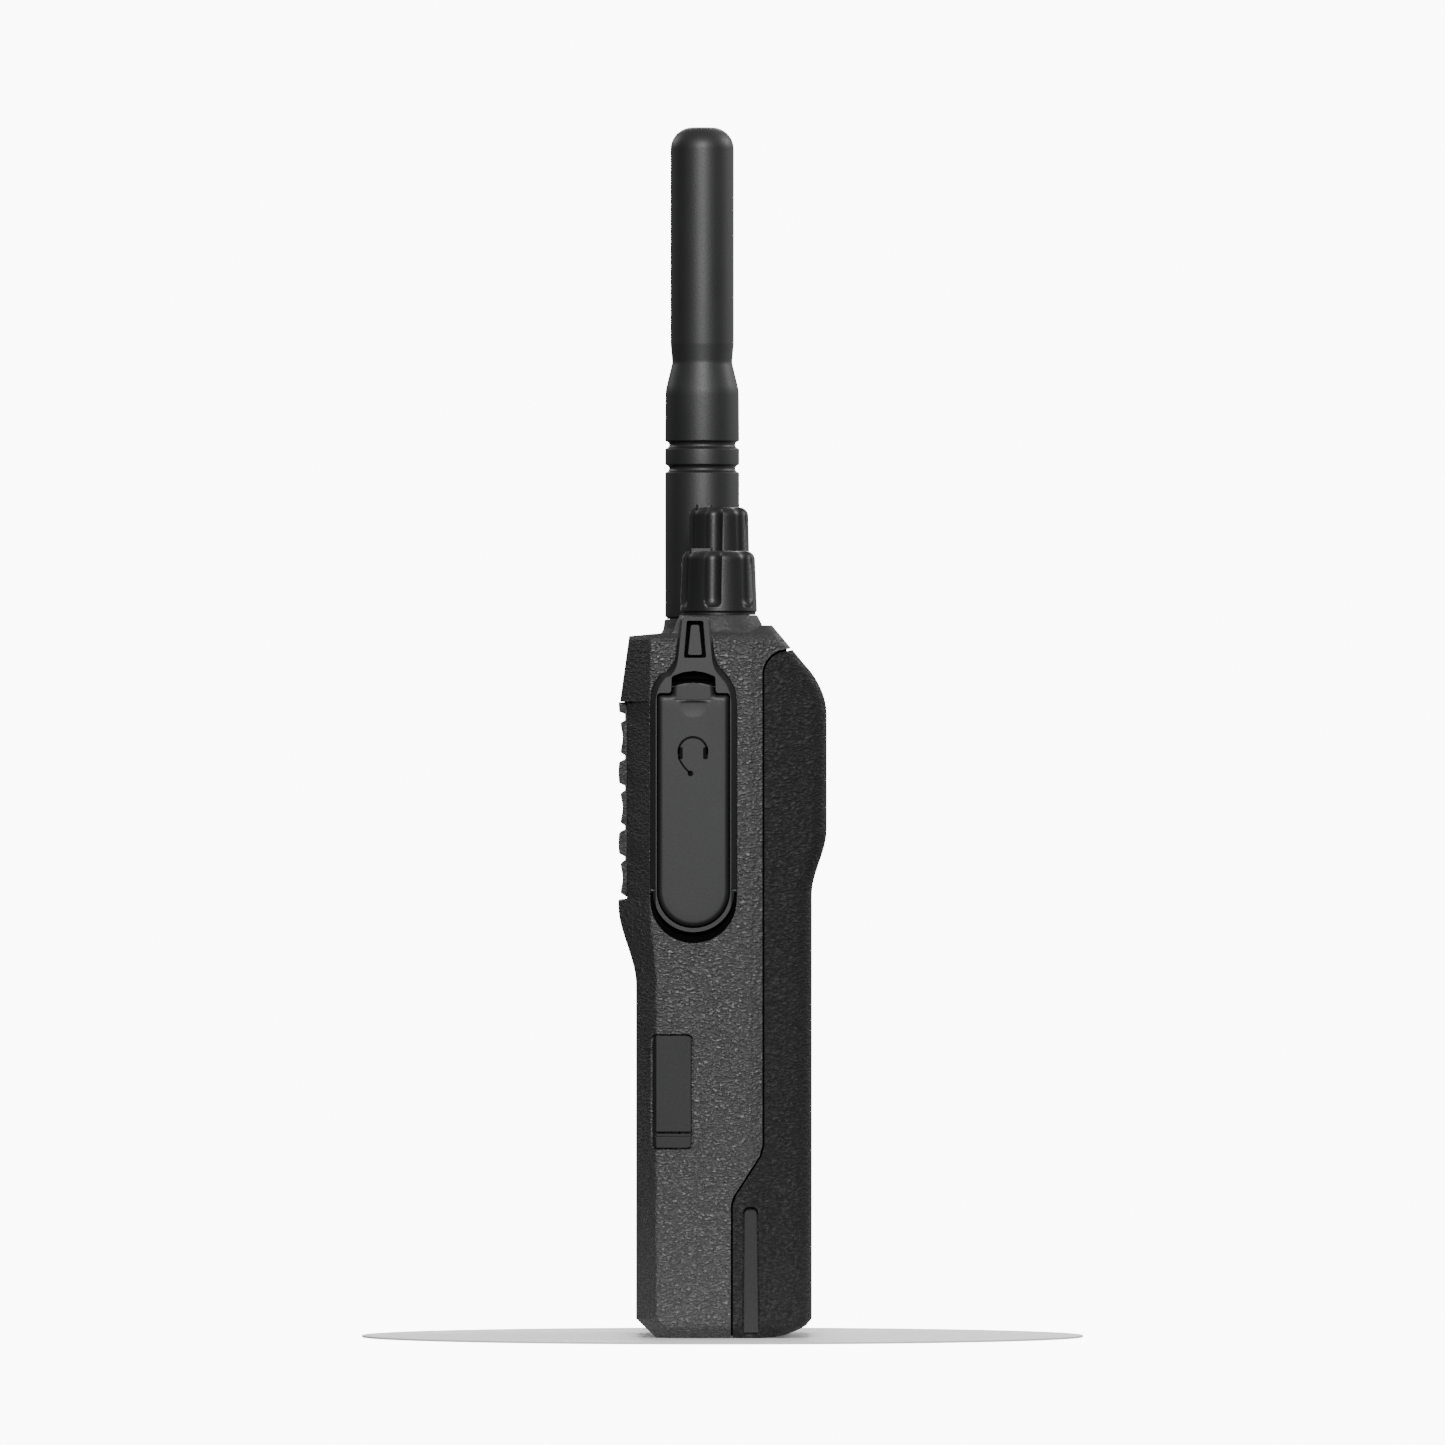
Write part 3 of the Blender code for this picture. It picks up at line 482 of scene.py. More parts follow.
def inner_moulding(name):
    """Dark unpainted plastic inside, with faint flow marks and a sheen from the tool."""
    finish = Finish(name)
    flow = finish.noise(6.0, 4.0, finish.stretched((1.0, 1.0, 0.3)))
    fine = finish.noise(0.3)
    finish.set("Base Color", finish.mix(flow, (0.028, 0.028, 0.03), (0.05, 0.05, 0.053)))
    finish.set("Roughness", 0.42 + flow * 0.15 + fine * 0.08)
    finish.set("Normal", finish.bump(fine * 0.5 + flow * 0.5, 0.015))
    return finish.material


def woven_cloth(name):
    """Thin acoustic cloth, an even weave of black threads."""
    finish = Finish(name, roughness=0.9)
    warp = finish.wave(0.42, "X")
    weft = finish.wave(0.42, "Z")
    weave = warp.high(weft) * 0.7 + warp * weft * 0.3
    uneven = finish.noise(3.0)
    shade = weave * 0.8 + uneven * 0.2
    finish.set("Base Color", finish.mix(shade, (0.006, 0.006, 0.006), (0.03, 0.03, 0.031)))
    finish.set("Roughness", 0.8 + weave * 0.15)
    finish.set("Normal", finish.bump(weave, 0.08))
    return finish.material


def pressed_paper(name):
    """Speaker cone of pressed pulp with fibres."""
    finish = Finish(name, roughness=0.85)
    fibres = finish.noise(0.5, 5.0, finish.stretched((1.0, 0.25, 1.0)), 0.7)
    blotches = finish.noise(4.0)
    shade = fibres * 0.6 + blotches * 0.4
    finish.set("Base Color", finish.mix(shade, (0.02, 0.018, 0.016), (0.07, 0.062, 0.055)))
    finish.set("Roughness", 0.78 + fibres * 0.15)
    finish.set("Normal", finish.bump(fibres, 0.05))
    return finish.material


def worked_metal(name, colour, roughness, brush=(1.0, 1.0, 0.08)):
    """Machined or drawn metal: fine lines, slight tarnish, brighter edges."""
    finish = Finish(name, metallic=1.0)
    lines = finish.noise(0.12, 3.0, finish.stretched(brush))
    stain = finish.noise(3.5, 3.0).ramp(0.35, 0.8)
    bright = finish.edges(0.15)
    ground = finish.mix(stain * 0.25 + lines * 0.25, colour, tinted(colour, 0.62))
    finish.set("Base Color", finish.mix(bright * 0.5, ground, tinted(colour, 1.2)))
    finish.set("Roughness", roughness + lines * 0.14 + stain * 0.12 - bright * 0.05)
    finish.set("Normal", finish.bump(lines, 0.006))
    return finish.material


def cast_metal(name):
    """Die-cast frame: orange-peel skin, flow lines and darker recesses."""
    finish = Finish(name, metallic=0.9)
    peel = finish.noise(0.7, 3.0)
    flow = finish.noise(9.0, 4.0, finish.stretched((1.0, 1.0, 0.35)), 0.6, 1.2)
    bright = finish.edges(0.4)
    ground = finish.mix(flow * 0.7 + peel * 0.3, (0.34, 0.345, 0.35), (0.5, 0.505, 0.51))
    finish.set("Base Color", finish.mix(bright * 0.6, ground, (0.66, 0.67, 0.68)))
    finish.set("Roughness", 0.42 + flow * 0.15 + peel * 0.1 - bright * 0.1)
    finish.set("Normal", finish.bump(peel * 0.7 + flow * 0.3, 0.04))
    return finish.material


def circuit_board(name):
    """Green solder mask with copper runs under it and a fine weave."""
    finish = Finish(name, Coat_Weight=0.4)
    runs = finish.wave(1.5, "X", 3.0).ramp(0.55, 0.65)
    crossing = finish.wave(2.3, "Z", 2.0).ramp(0.6, 0.68)
    pads = 1.0 - finish.cells(2.2, 0.4).ramp(0.16, 0.2)
    copper = runs.high(crossing)
    mask = finish.mix(copper, (0.004, 0.045, 0.018), (0.012, 0.095, 0.036))
    finish.set("Base Color", finish.mix(pads, mask, (0.55, 0.5, 0.36)))
    finish.set("Roughness", 0.34 + finish.noise(1.0) * 0.12)
    finish.set("Metallic", pads * 0.8)
    finish.set("Normal", finish.bump(copper.high(pads), 0.03))
    return finish.material


def cell_foil(name):
    """Silvery laminated pouch with crinkles and a darker seam zone."""
    finish = Finish(name, metallic=0.7)
    crinkle = finish.noise(5.0, 5.0, finish.stretched((1.0, 1.0, 0.5)), 0.6)
    seam = (finish.axis("Z") - 70.0).math("ABSOLUTE").ramp(33.0, 35.5)
    finish.set("Base Color", finish.mix(seam, (0.5, 0.52, 0.55), (0.3, 0.31, 0.33)))
    finish.set("Roughness", 0.26 + crinkle * 0.2)
    finish.set("Normal", finish.bump(crinkle, 0.12))
    return finish.material


def clear_lens(name):
    """Frosted light guide for the status lamp."""
    finish = Finish(name, Transmission_Weight=0.35)
    frost = finish.noise(0.2)
    depth = finish.noise(1.2)
    finish.set("Base Color", finish.mix(depth, (0.45, 0.48, 0.46), (0.72, 0.75, 0.73)))
    finish.set("Roughness", 0.12 + frost * 0.12)
    finish.set("Normal", finish.bump(frost, 0.006))
    return finish.material


def printed_ink(name):
    """Matt black pad print, slightly uneven at this scale."""
    finish = Finish(name, Specular_IOR_Level=0.12)
    patch = finish.noise(0.4, 3.0)
    finish.set("Base Color", finish.mix(patch, (0.0015, 0.0015, 0.0017), (0.004, 0.004, 0.0043)))
    finish.set("Roughness", 0.62 + patch * 0.2)
    finish.set("Normal", finish.bump(patch, 0.004))
    return finish.material


def painted_shade_finish(name):
    """Painted shade: a near-black, dull sheet with a fine cell pattern, put into gaps and recesses to stand
    for their deep shade.
    """
    finish = Finish(name, Specular_IOR_Level=0.05)
    cell_pattern = finish.cells(0.35)
    finish.set("Base Color", finish.mix(cell_pattern, (0.001, 0.001, 0.001), (0.004, 0.004, 0.004)))
    finish.set("Roughness", 0.85 + cell_pattern * 0.15)
    finish.set("Normal", finish.bump(cell_pattern, 0.05))
    return finish.material


HOUSING = leather_grain_plastic("housing_leather_grain")
# Painted shade: the battery's copy of the housing finish is coloured 0.4 times as dark, standing for the
# shade on its sides, which turn away from the lamps.
BATTERY_SHADED = leather_grain_plastic("battery_leather_grain", tinted(CHARCOAL, 0.4), 1.15, 0.14, 0.5, 0.5)
GRILLE = leather_grain_plastic("grille_fine_grain", tinted(CHARCOAL, 0.9), 0.9, 0.06, 0.4, 0.6)
FRAME_TRIM = satin_plastic("accessory_frame_satin", (0.015, 0.0152, 0.0157), 0.45)
COVER_TRIM = satin_plastic("accessory_cover_satin", (0.013, 0.0132, 0.0136), 0.5)
DOOR_RUBBER = satin_plastic("port_door_smooth", (0.008, 0.0082, 0.0085), 0.55, 0.3)
KNOB = fine_grain_rubber("knob_fine_grain", (0.011, 0.0112, 0.0116), 0.45, 0.34, 0.03)
ANTENNA = fine_grain_rubber("antenna_sheath_satin", (0.014, 0.0142, 0.0147), 0.53, 0.38, 0.02, 0.75)
BUTTON = fine_grain_rubber("button_rubber", (0.011, 0.0112, 0.0116), 0.6, 0.32, 0.02)
SEAL = fine_grain_rubber("seal_rubber", (0.03, 0.03, 0.031), 0.7, 0.5, 0.02)
INNER = inner_moulding("inner_moulding")
CLOTH = woven_cloth("speaker_cloth_weave")
PAPER = pressed_paper("speaker_cone_paper")
STEEL = worked_metal("plated_steel", (0.6, 0.61, 0.63), 0.24)
BLACK_STEEL = worked_metal("blackened_steel", (0.012, 0.012, 0.013), 0.4)
BRASS = worked_metal("gilt_brass", (0.8, 0.6, 0.28), 0.22, (0.1, 0.1, 1.0))
CASTING = cast_metal("cast_chassis")
BOARD = circuit_board("circuit_board_mask")
FOIL = cell_foil("cell_foil")
LENS = clear_lens("status_light_guide")
INK = printed_ink("symbol_print")
# Painted shade: near-black sheets that stand for the shade in gaps and recesses.
PAINTED_SHADE = painted_shade_finish("gasket_foam")

# ---------------------------------------------------------------- driving sizes

HALF_WIDTH = 27.5
FRONT_LOWER = -14.8
FRONT_UPPER = -17.85
FRONT_GRILLE = -16.4
REAR_LOWER = 15.3
REAR_UPPER = 17.85
HINGE_POCKET_Y, HINGE_POCKET_Z = (-10.3, 0.4), (110.2, 112.7)
PART_GAP = 0.19  # half the visible gap between housing and battery
PART_UPPER = 7.0
PART_LOWER = 1.6
WALL = 1.8
COVER_Y = middle("accessory_cover").y
FRAME_LOW, FRAME_HIGH = span("accessory_frame")
FRAME_RADIUS = (FRAME_HIGH.y - FRAME_LOW.y) / 2
ARCH_Z = 108.56
BOWL_Z = FRAME_LOW.z + FRAME_RADIUS
COVER_LOW, COVER_HIGH = span("accessory_cover")
COVER_HALF = (COVER_HIGH.y - COVER_LOW.y) / 2
COVER_BOWL_Z = COVER_LOW.z + COVER_HALF
SHOULDER_Z = 110.0
TAB_HALF = 3.55
GRILLE_MIDDLE = 91.8
VOLUME = middle("volume_knob")
CHANNEL = middle("channel_knob")
MAST = middle("antenna_sheath")

# ---------------------------------------------------------------- body shells


def front_y(z):
    """Front surface in the side view."""
    if z < 3.3:
        return -11.4 - (z / 3.3) * 3.4
    if z <= 74.8:
        return FRONT_LOWER + (FRONT_UPPER - FRONT_LOWER) * smooth_step(z, 60.4, 74.1)
    if z < 108.8:
        return FRONT_GRILLE
    return -17.5 + 1.5 * (z - 109.2) / 10.9


def rear_y(z):
    """Rear surface in the side view."""
    if z < 2.1:
        return 7.1 + math.sqrt(2 * 13.4 * z - z * z)
    if z < 3.3:
        return 14.3 + (z - 2.1) / 1.2
    if z <= 106.6:
        return REAR_LOWER + (REAR_UPPER - REAR_LOWER) * smooth_step(z, 75.8, 87.0)
    if z <= 114.0:
        return REAR_UPPER - 2.7 * ((z - 106.6) / 7.4) ** 2
    return 15.1 - (z - 114.0) * 0.83


def body_ring(z):
    """The body's outline at one height: chamfered front corners, tapered and rounded rear ones."""
    wide = HALF_WIDTH - 1.5 * (1 - z / 2.1) ** 1.3 if z < 2.1 else HALF_WIDTH - 1.1 * max(z - 119.5, 0.0)
    front, rear = front_y(z), rear_y(z)
    upper = smooth_step(z, 60.4, 74.1)
    side_start = front + 3.4 if z < 3.3 else -11.4 - upper
    turn_y = min(4.7, rear - 5.6)
    taper = 1.7 * (rear - turn_y) / 10.6
    right = [
        (0.0, front, 0),
        (wide - 3.6 - 0.7 * upper, front, 0.9),
        (wide, side_start, 0.9),
        (wide, turn_y, 3.0),
        (wide - taper, rear, 3.4),
        (0.0, rear, 0),
    ]
    path = rounded_path(right, 5, closed=False)
    return [(x, y, z) for x, y in path + [(-x, y) for x, y in reversed(path[1:-1])]]


def levels(*stops):
    """Heights: each stop is (height, number of steps up to it from the one before)."""
    made = [stops[0][0]]
    for (low, _), (high, steps) in zip(stops, stops[1:]):
        made += [low + (high - low) * step / steps for step in range(1, steps + 1)]
    return made


def body_envelope():
    """The whole body as one solid, before it is parted and hollowed."""
    heights = levels(
        (0.0, 0), (0.12, 1), (0.4, 1), (2.1, 5), (3.3, 3), (3.9, 1), (58.0, 1), (60.4, 1), (74.1, 14),
        (74.8, 1), (74.9, 1), (75.8, 1), (87.0, 12), (106.6, 2), (108.75, 3), (108.9, 1), (114.0, 8),
        (115.0, 1), (119.4, 2), (119.6, 1), (122.6, 5),
    )
    return loft([body_ring(z) for z in heights])


def parting_line(offset):
    """The line between housing and battery in Y and Z, from the base up, moved back by offset."""
    corners = [
        (PART_LOWER + offset, -5.0, 0),
        (PART_LOWER + offset, 22.9, 2.4),
        (2.1 + offset, 24.3, 1.6),
        (6.5 + offset, 31.1, 1.6),
        (PART_UPPER + offset, 33.0, 2.4),
        (PART_UPPER + offset, 113.0, 0),
    ]
    line = rounded_path(corners, 8, closed=False)
    radius = 4.15
    line += arc((PART_UPPER + radius, 113.5), radius - offset, 180, 100, 12)
    line.append((16.0, 118.9 - offset))
    return line


def parting_land(name, offset, half, base):
    """A bar along the seam, from just behind it to offset, that lets no light through the seam."""
    outline = parting_line(offset) + list(reversed(parting_line(1.2)))
    land = raw_object(name, prism(outline, "x", -half, half))
    trim_seam_ends(land, base)
    return land


def trim_seam_ends(piece, base):
    """Ends a piece that follows the seam at the base and inside the upper rear edge."""
    combine(piece, box((-30, 30), (-20, 30), (-10, base)))
    combine(piece, box((-30, 30), (11.0, 20), (110, 130)))


def make_seam_shade_sheets():
    """Painted shade: black sheets at the bottom of the seam on both sides, so that the seam shows as a dark
    line.
    """
    outline = parting_line(-0.15) + list(reversed(parting_line(0.15)))
    for name, side in (("right_seam_gasket", 1), ("left_seam_gasket", -1)):
        low, high = sorted((side * 25.37, side * 25.5))
        # Painted shade: a thin black sheet that stands for the shade deep in the seam.
        shade_sheet = raw_object(name, prism(outline, "x", low, high))
        trim_seam_ends(shade_sheet, 0.4)
        finished(shade_sheet, PAINTED_SHADE, "battery")


def collar(centre, top_radius, low_radius, top):
    """A raised collar with a flared foot round a control."""
    profile = [(0, 118.0), (low_radius + 1.4, 118.0), (low_radius + 1.4, 120.2), (low_radius + 0.75, 120.5)]
    profile += [(low_radius + 0.35, 120.9), (low_radius + 0.1, 121.5), (low_radius, 122.2)]
    profile += [(top_radius + 0.12, top - 0.15), (top_radius - 0.05, top), (0, top)]
    return turned(profile, (centre.x, centre.y, 0), segments=90)


def cavity_plan(half, front, rear):
    """Plan of the inner space, with the front corners cut to follow the outer chamfer."""
    right = [(half, rear), (half, front + 2.4), (half - 2.6, front)]
    return right + [(-x, y) for x, y in reversed(right)]


def frame_outline(grow=0.0, neck_grow=None):
    """Accessory frame in Y and Z: round bottom, straight sides, arch, and a neck to the top."""
    neck_grow = grow if neck_grow is None else neck_grow
    radius = FRAME_RADIUS + grow
    middle_y = COVER_Y + 0.26
    turn = math.radians(46)
    foot = (COVER_Y + radius * math.cos(turn), ARCH_Z + radius * math.sin(turn))
    half = 3.5 + neck_grow
    root = (middle_y + half, foot[1] + (foot[0] - middle_y - half) * math.cos(turn) / math.sin(turn))
    rise = (middle_y + half - 0.24, root[1] + 1.8)
    top = FRAME_HIGH.z + min(max(neck_grow, -0.1), 0.3)
    right = arc((COVER_Y, ARCH_Z), radius, 0, 46, 14)
    right += corner_points(foot, root, rise, 8)[1:]
    tip = middle_y + 2.45 + neck_grow
    right += corner_points((tip + 0.1, top - 0.7), (tip, top), (middle_y + 1.9, top), 5)
    left = [(2 * middle_y - y, z) for y, z in reversed(right[14:])]
    left += [(2 * COVER_Y - y, z) for y, z in reversed(right[:14])]
    return arc((COVER_Y, BOWL_Z), radius, 180, 360, 40) + right + left


def cover_outline(grow=0.0, top=None):
    """Accessory cover in Y and Z: round bottom, shoulders and a narrower tab with a crowned top."""
    half, tab = COVER_HALF + grow, TAB_HALF + grow
    points = arc((COVER_Y, COVER_BOWL_Z), half, 180, 360, 40)
    crown = 0.42 if top is None else 0.95
    top = COVER_HIGH.z if top is None else top
    shoulder = SHOULDER_Z + 2 * max(grow, 0.0) + min(grow, 0.0)
    right = [
        (COVER_Y + half, COVER_BOWL_Z + 1.0, 0),
        (COVER_Y + half, shoulder, 0.75),
        (COVER_Y + tab + 0.1, shoulder, 0.55),
        (COVER_Y + tab, top - crown, 0.6),
        (COVER_Y + tab * 0.5, top - crown * 0.25, 1.5),
        (COVER_Y, top, 0),
    ]
    path = rounded_path(right, 6, closed=False)
    return points + path[1:] + [(2 * COVER_Y - y, z) for y, z in reversed(path[1:-1])]


def bezel_outline(grow=0.0):
    low, high = span("ptt_bezel")
    return oblong((low.y - grow, low.z - grow), (high.y + grow, high.z + grow), 3.2 + grow, 8)


def button_outline(node, grow=0.0):
    """A side button's visible face, inside its retaining flange."""
    low, high = span(node)
    flange = 0.6
    corner = (low.y + flange - grow, low.z + flange - grow)
    return oblong(corner, (high.y - flange + grow, high.z - flange + grow), 2.3, 8)


BUTTONS = ("ptt_button", "upper_side_button", "lower_side_button")


def make_front_housing():
    housing = raw_object("front_housing_shell", body_envelope())
    cut_through(housing, [*parting_line(-PART_GAP), (60, 118.9), (60, -5)], -40)
    absorbed(housing, parting_land("seam_rebate", offset=-0.34, half=25.65, base=-4.0), "DIFFERENCE")
    top_line = [(-40, 119.9), (-16, 120.1), (-10.5, 120.6), (4.7, 120.6), (6.7, 121.95), (40, 122.0)]
    cut_through(housing, top_line + [(40, 150), (-40, 150)], -40)
    combine(housing, collar(VOLUME, 6.6, 7.4, 123.7), "UNION")
    combine(housing, collar(CHANNEL, 5.9, 6.7, 123.7), "UNION")
    combine(housing, collar(MAST, 6.4, 6.62, 123.1), "UNION")
    half = HALF_WIDTH - WALL
    combine(housing, prism(cavity_plan(half, -13.0, 40), "z", 3.2, 111.8))
    combine(housing, prism(cavity_plan(half - 0.02, -12.98, 5.0), "z", 111.0, 118.2))
    cut_grille_recess(housing)
    cut_top_holes(housing)
    spigot = [(4.5, 122.0), (5.6, 122.0), (5.6, 123.36), (4.5, 123.36)]
    combine(housing, turned(spigot, (MAST.x, MAST.y, 0), closed=True), "UNION")
    cut_side_seats(housing)
    soften(housing, 0.16)
    finished(housing, HOUSING, "radio", ["front_housing"])


def cut_grille_recess(housing):
    """The recess for the grille, the sound opening and the microphone hole."""
    combine(housing, prism(oblong((-23.0, 75.2), (23.0, 108.45), 1.2), "y", -30, -14.9))
    combine(housing, cylinder(15.0, -20, -12, (0, 0, GRILLE_MIDDLE), "y", 64))
    combine(housing, cylinder(0.6, -20, -12, (0, 0, middle("microphone").z), "y", 20))


def cut_top_holes(housing):
    """Wells round the control bushings, the antenna's hole and the lens's hole."""
    for centre, radius in ((VOLUME, 5.2), (CHANNEL, 4.7)):
        well = [(radius, 130), (radius, 121.0), (3.3, 120.99), (3.3, 115)]
        combine(housing, turned(well, (centre.x, centre.y, 0), segments=56))
    combine(housing, cylinder(4.4, 115, 130, (MAST.x, MAST.y, 0), segments=56))
    lens = middle("status_lens")
    combine(housing, cylinder(1.7, 115, 130, (lens.x, lens.y, 0), segments=32))


def cut_side_seats(housing):
    """Seats for the accessory frame, the port door and the bezel, with the openings behind them."""
    cut_through(housing, frame_outline(0.1), 26.6)
    cut_through(housing, oblong((-10.5, 79.5), (-1.1, 100.5), 1.0))
    combine(housing, box((26.1, 40), HINGE_POCKET_Y, HINGE_POCKET_Z))
    door_low, door_high = span("port_door")
    clearance = 0.34
    low = (door_low.y - clearance, span("port_door_anchor")[0].z - clearance)
    cut_through(housing, oblong(low, (door_high.y + clearance, door_high.z + clearance), 1.3), 26.2)
    cut_through(housing, oblong((-10.5, 37.7), (-6.1, 48.3), 0.8))
    cut_through(housing, bezel_outline(0.12), -40, -26.6)
    for node in BUTTONS:
        cut_through(housing, button_outline(node, 0.9), -40, -20)


def make_battery_case():
    case = raw_object("battery_case_shell", body_envelope())
    ahead = [*parting_line(PART_GAP), (60, 118.5), (60, 160), (-60, 160), (-60, -5)]
    cut_through(case, ahead, -40)
    absorbed(case, parting_land("seam_land", offset=-0.24, half=25.35, base=0.4), "UNION")
    hollow = [(-1.0, 2.0), (-1.0, 24.0), (6.0, 33.0), (6.0, 110.5), (13.6, 110.5), (13.6, 4.0), (12.0, 2.0)]
    cut_through(case, hollow, -24.2, 24.2)
    combine(case, prism(oblong((-5.3, 5.0), (5.3, 12.4), 0.8), "z", -3, 3))
    groove = rounded_path([(3.3, -4, 0), (6.5, -4, 0), (6.12, 22.5, 1.3), (3.48, 22.5, 1.3)], 8)
    for side in (-1, 1):
        cut_through(case, groove, *sorted((side * 25.9, side * 40)))
    for x in (-9.0, 9.0):
        combine(case, cylinder(1.25, 14.4, 30, (x, 0, 97.0), "y", 24))
    for x in (middle("charge_contact_1").x, middle("charge_contact_2").x):
        combine(case, cylinder(1.7, -3, 3, (x, middle("charge_contact_1").y, 0), segments=32))
    soften(case, 0.16)
    finished(case, BATTERY_SHADED, "battery", ["battery_case"])


def make_charger_groove_liners():
    """Smooth guide strips that lie in the case's two charger grooves."""
    corners = [(3.58, 0.9, 0.3), (6.2, 0.9, 0.3), (5.86, 22.2, 1.1), (3.74, 22.2, 1.1)]
    for name, side in (("right_charger_strip", 1), ("left_charger_strip", -1)):
        low, high = sorted((side * 25.9, side * 26.35))
        strip = raw_object(name, prism(rounded_path(corners, 8), "x", low, high))
        soften(strip, 0.12, 2, 40)
        finished(strip, DOOR_RUBBER, "battery")


# ---------------------------------------------------------------- repeating shapes with Geometry Nodes


class Tree(Nodes):
    """A Geometry Nodes group with named inputs, baked into a plain mesh each time it is used."""

    def __init__(self, name, inputs):
        super().__init__(bpy.data.node_groups.new(name, "GeometryNodeTree"), "GeometryNode")
        face = self.tree.interface
        self.sockets = {}
        for label, kind in inputs.items():
            item = face.new_socket(label, in_out="INPUT", socket_type=f"NodeSocket{kind}")
            self.sockets[label] = item.identifier
        face.new_socket("Geometry", in_out="OUTPUT", socket_type="NodeSocketGeometry")
        self.source = self.tree.nodes.new("NodeGroupInput")
        self.result = self.tree.nodes.new("NodeGroupOutput")

    def end(self, geometry):
        """Ends the tree in Realize Instances and Set Material."""
        real = self.node("RealizeInstances", {}, {0: geometry})
        inputs = {0: real.outputs[0], "Material": self.source.outputs["Material"]}
        painted = self.node("SetMaterial", {}, inputs)
        self.feed(self.result.inputs[0], painted.outputs[0])

    def made(self, name, values):
        """Runs the tree with the given input values and returns a plain object."""
        holder = bpy.data.objects.new(name, bpy.data.meshes.new(name))
        bpy.context.scene.collection.objects.link(holder)
        modifier = holder.modifiers.new("shape", "NODES")
        modifier.node_group = self.tree
        for label, value in values.items():
            modifier[self.sockets[label]] = value
        return plain(holder)


def grid_tree():
    """Copies of one piece on a flat grid, columns along one step and rows along another."""
    columns = {"Columns": "Int", "Column Step": "Vector"}
    rows = {"Rows": "Int", "Row Step": "Vector"}
    tree = Tree("rows_of_copies", {"Piece": "Object", **columns, **rows, "Material": "Material"})
    out = tree.source.outputs
    piece = tree.node("ObjectInfo", {"transform_space": "ORIGINAL"}, {"Object": out["Piece"]})
    repeated = piece.outputs["Geometry"]
    for count, step in (("Columns", "Column Step"), ("Rows", "Row Step")):
        line = tree.node("MeshLine", {"mode": "OFFSET"}, {"Count": out[count], "Offset": out[step]})
        placed = tree.node("InstanceOnPoints", {}, {0: line.outputs[0], "Instance": repeated})
        repeated = placed.outputs[0]
    tree.end(repeated)
    return tree


def helix_tree():
    """A round wire on a helix."""
    inputs = {"Turns": "Float", "Radius": "Float", "Height": "Float", "Wire": "Float", "Material": "Material"}
    tree = Tree("wire_helix", inputs)
    out = tree.source.outputs
    spiral = tree.node("CurveSpiral", {}, {
        "Resolution": 28,
        "Rotations": out["Turns"],
        "Start Radius": out["Radius"],
        "End Radius": out["Radius"],
        "Height": out["Height"],
    })
    settings, inputs = {"mode": "RADIUS"}, {"Resolution": 10, "Radius": out["Wire"]}
    section = tree.node("CurvePrimitiveCircle", settings, inputs)
    inputs = {0: spiral.outputs[0], 1: section.outputs[0], "Fill Caps": True}
    tree.end(tree.node("CurveToMesh", {}, inputs).outputs[0])
    return tree


GRID = grid_tree()
HELIX = helix_tree()


def copies(name, source, columns, column_step, rows, row_step, material):
    """A grid of copies of one object, as a plain mesh; the source is removed."""
    values = {
        "Piece": source, "Columns": columns, "Column Step": [c * MM for c in column_step],
        "Rows": rows, "Row Step": [c * MM for c in row_step], "Material": material,
    }
    made = GRID.made(name, values)
    bpy.data.objects.remove(source, do_unlink=True)
    return made


def stacked(name, source, count, step, material):
    """One row of copies."""
    return copies(name, source, 1, (0, 0, 0), count, step, material)


def move_mesh(piece, offset, turn=None):
    """Turns a finished mesh about the origin and then moves it, in millimetres."""
    matrix = Matrix.Translation(Vector(offset) * MM)
    if turn is not None:
        matrix = matrix @ Matrix.Rotation(math.radians(turn[0]), 4, turn[1])
    piece.data.transform(matrix)


# ---------------------------------------------------------------- grille


def rib_section(low, high, edge, centre_depth):
    """Side view of one cross rib, softened at its front edges, crowned or hollowed."""
    mid = (low + high) / 2
    side = [(-16.5, low - 0.25, 0), (-16.95, low - 0.02, 0.2), (edge, low + 0.35, 0.45)]
    side.append((centre_depth, mid, 4.0))
    side += [(edge, high - 0.35, 0.45), (-16.95, high + 0.02, 0.2), (-16.5, high + 0.25, 0)]
    return rounded_path(side, 5, closed=False)


def make_speaker_grille():
    """A slotted plate with crowned and hollowed cross ribs that take turns."""
    outline = oblong((-22.75, 75.5), (22.75, 108.1), 1.0)
    plate = raw_object("speaker_grille_bar_plate", prism(outline, "y", -16.7, -15.2))
    slot_start, slot_end, slot_spacing, slot_rise = -19.6, -16.2, 3.98, 12.08
    for low, high, corner in ((81.75, 82.35, 0.28), (87.05, 87.6, 0.26)):
        outline = oblong((slot_start, low), (slot_end, high), corner)
        slot = raw_object("slot", prism(outline, "y", -18, -14))
        slots = copies("slots", slot, 10, (slot_spacing, 0, 0), 2, (0, 0, slot_rise), GRILLE)
        absorbed(plate, slots, "DIFFERENCE")
    rib_half = 22.6
    crowned = ("crowned_ribs", rib_section(82.5, 86.8, -17.72, -17.85), 2, 12.1)
    hollow = ("hollow_ribs", rib_section(75.8, 81.5, -17.5, -17.05), 3, 12.02)
    for name, section, count, spacing in (crowned, hollow):
        rib = raw_object("rib", prism(section, "x", -rib_half, rib_half))
        absorbed(plate, stacked(name, rib, count, (0, 0, spacing), GRILLE), "UNION")
    lip = [(-16.5, 106.7, 0), (-17.7, 107.1, 0.45), (-17.8, 108.78, 0.1), (-16.5, 108.78, 0)]
    combine(plate, prism(rounded_path(lip, 5), "x", -rib_half, rib_half), "UNION")
    soften(plate, 0.1, 2, 40)
    finished(plate, GRILLE, "radio", ["speaker_grille"])


# ---------------------------------------------------------------- knobs and antenna


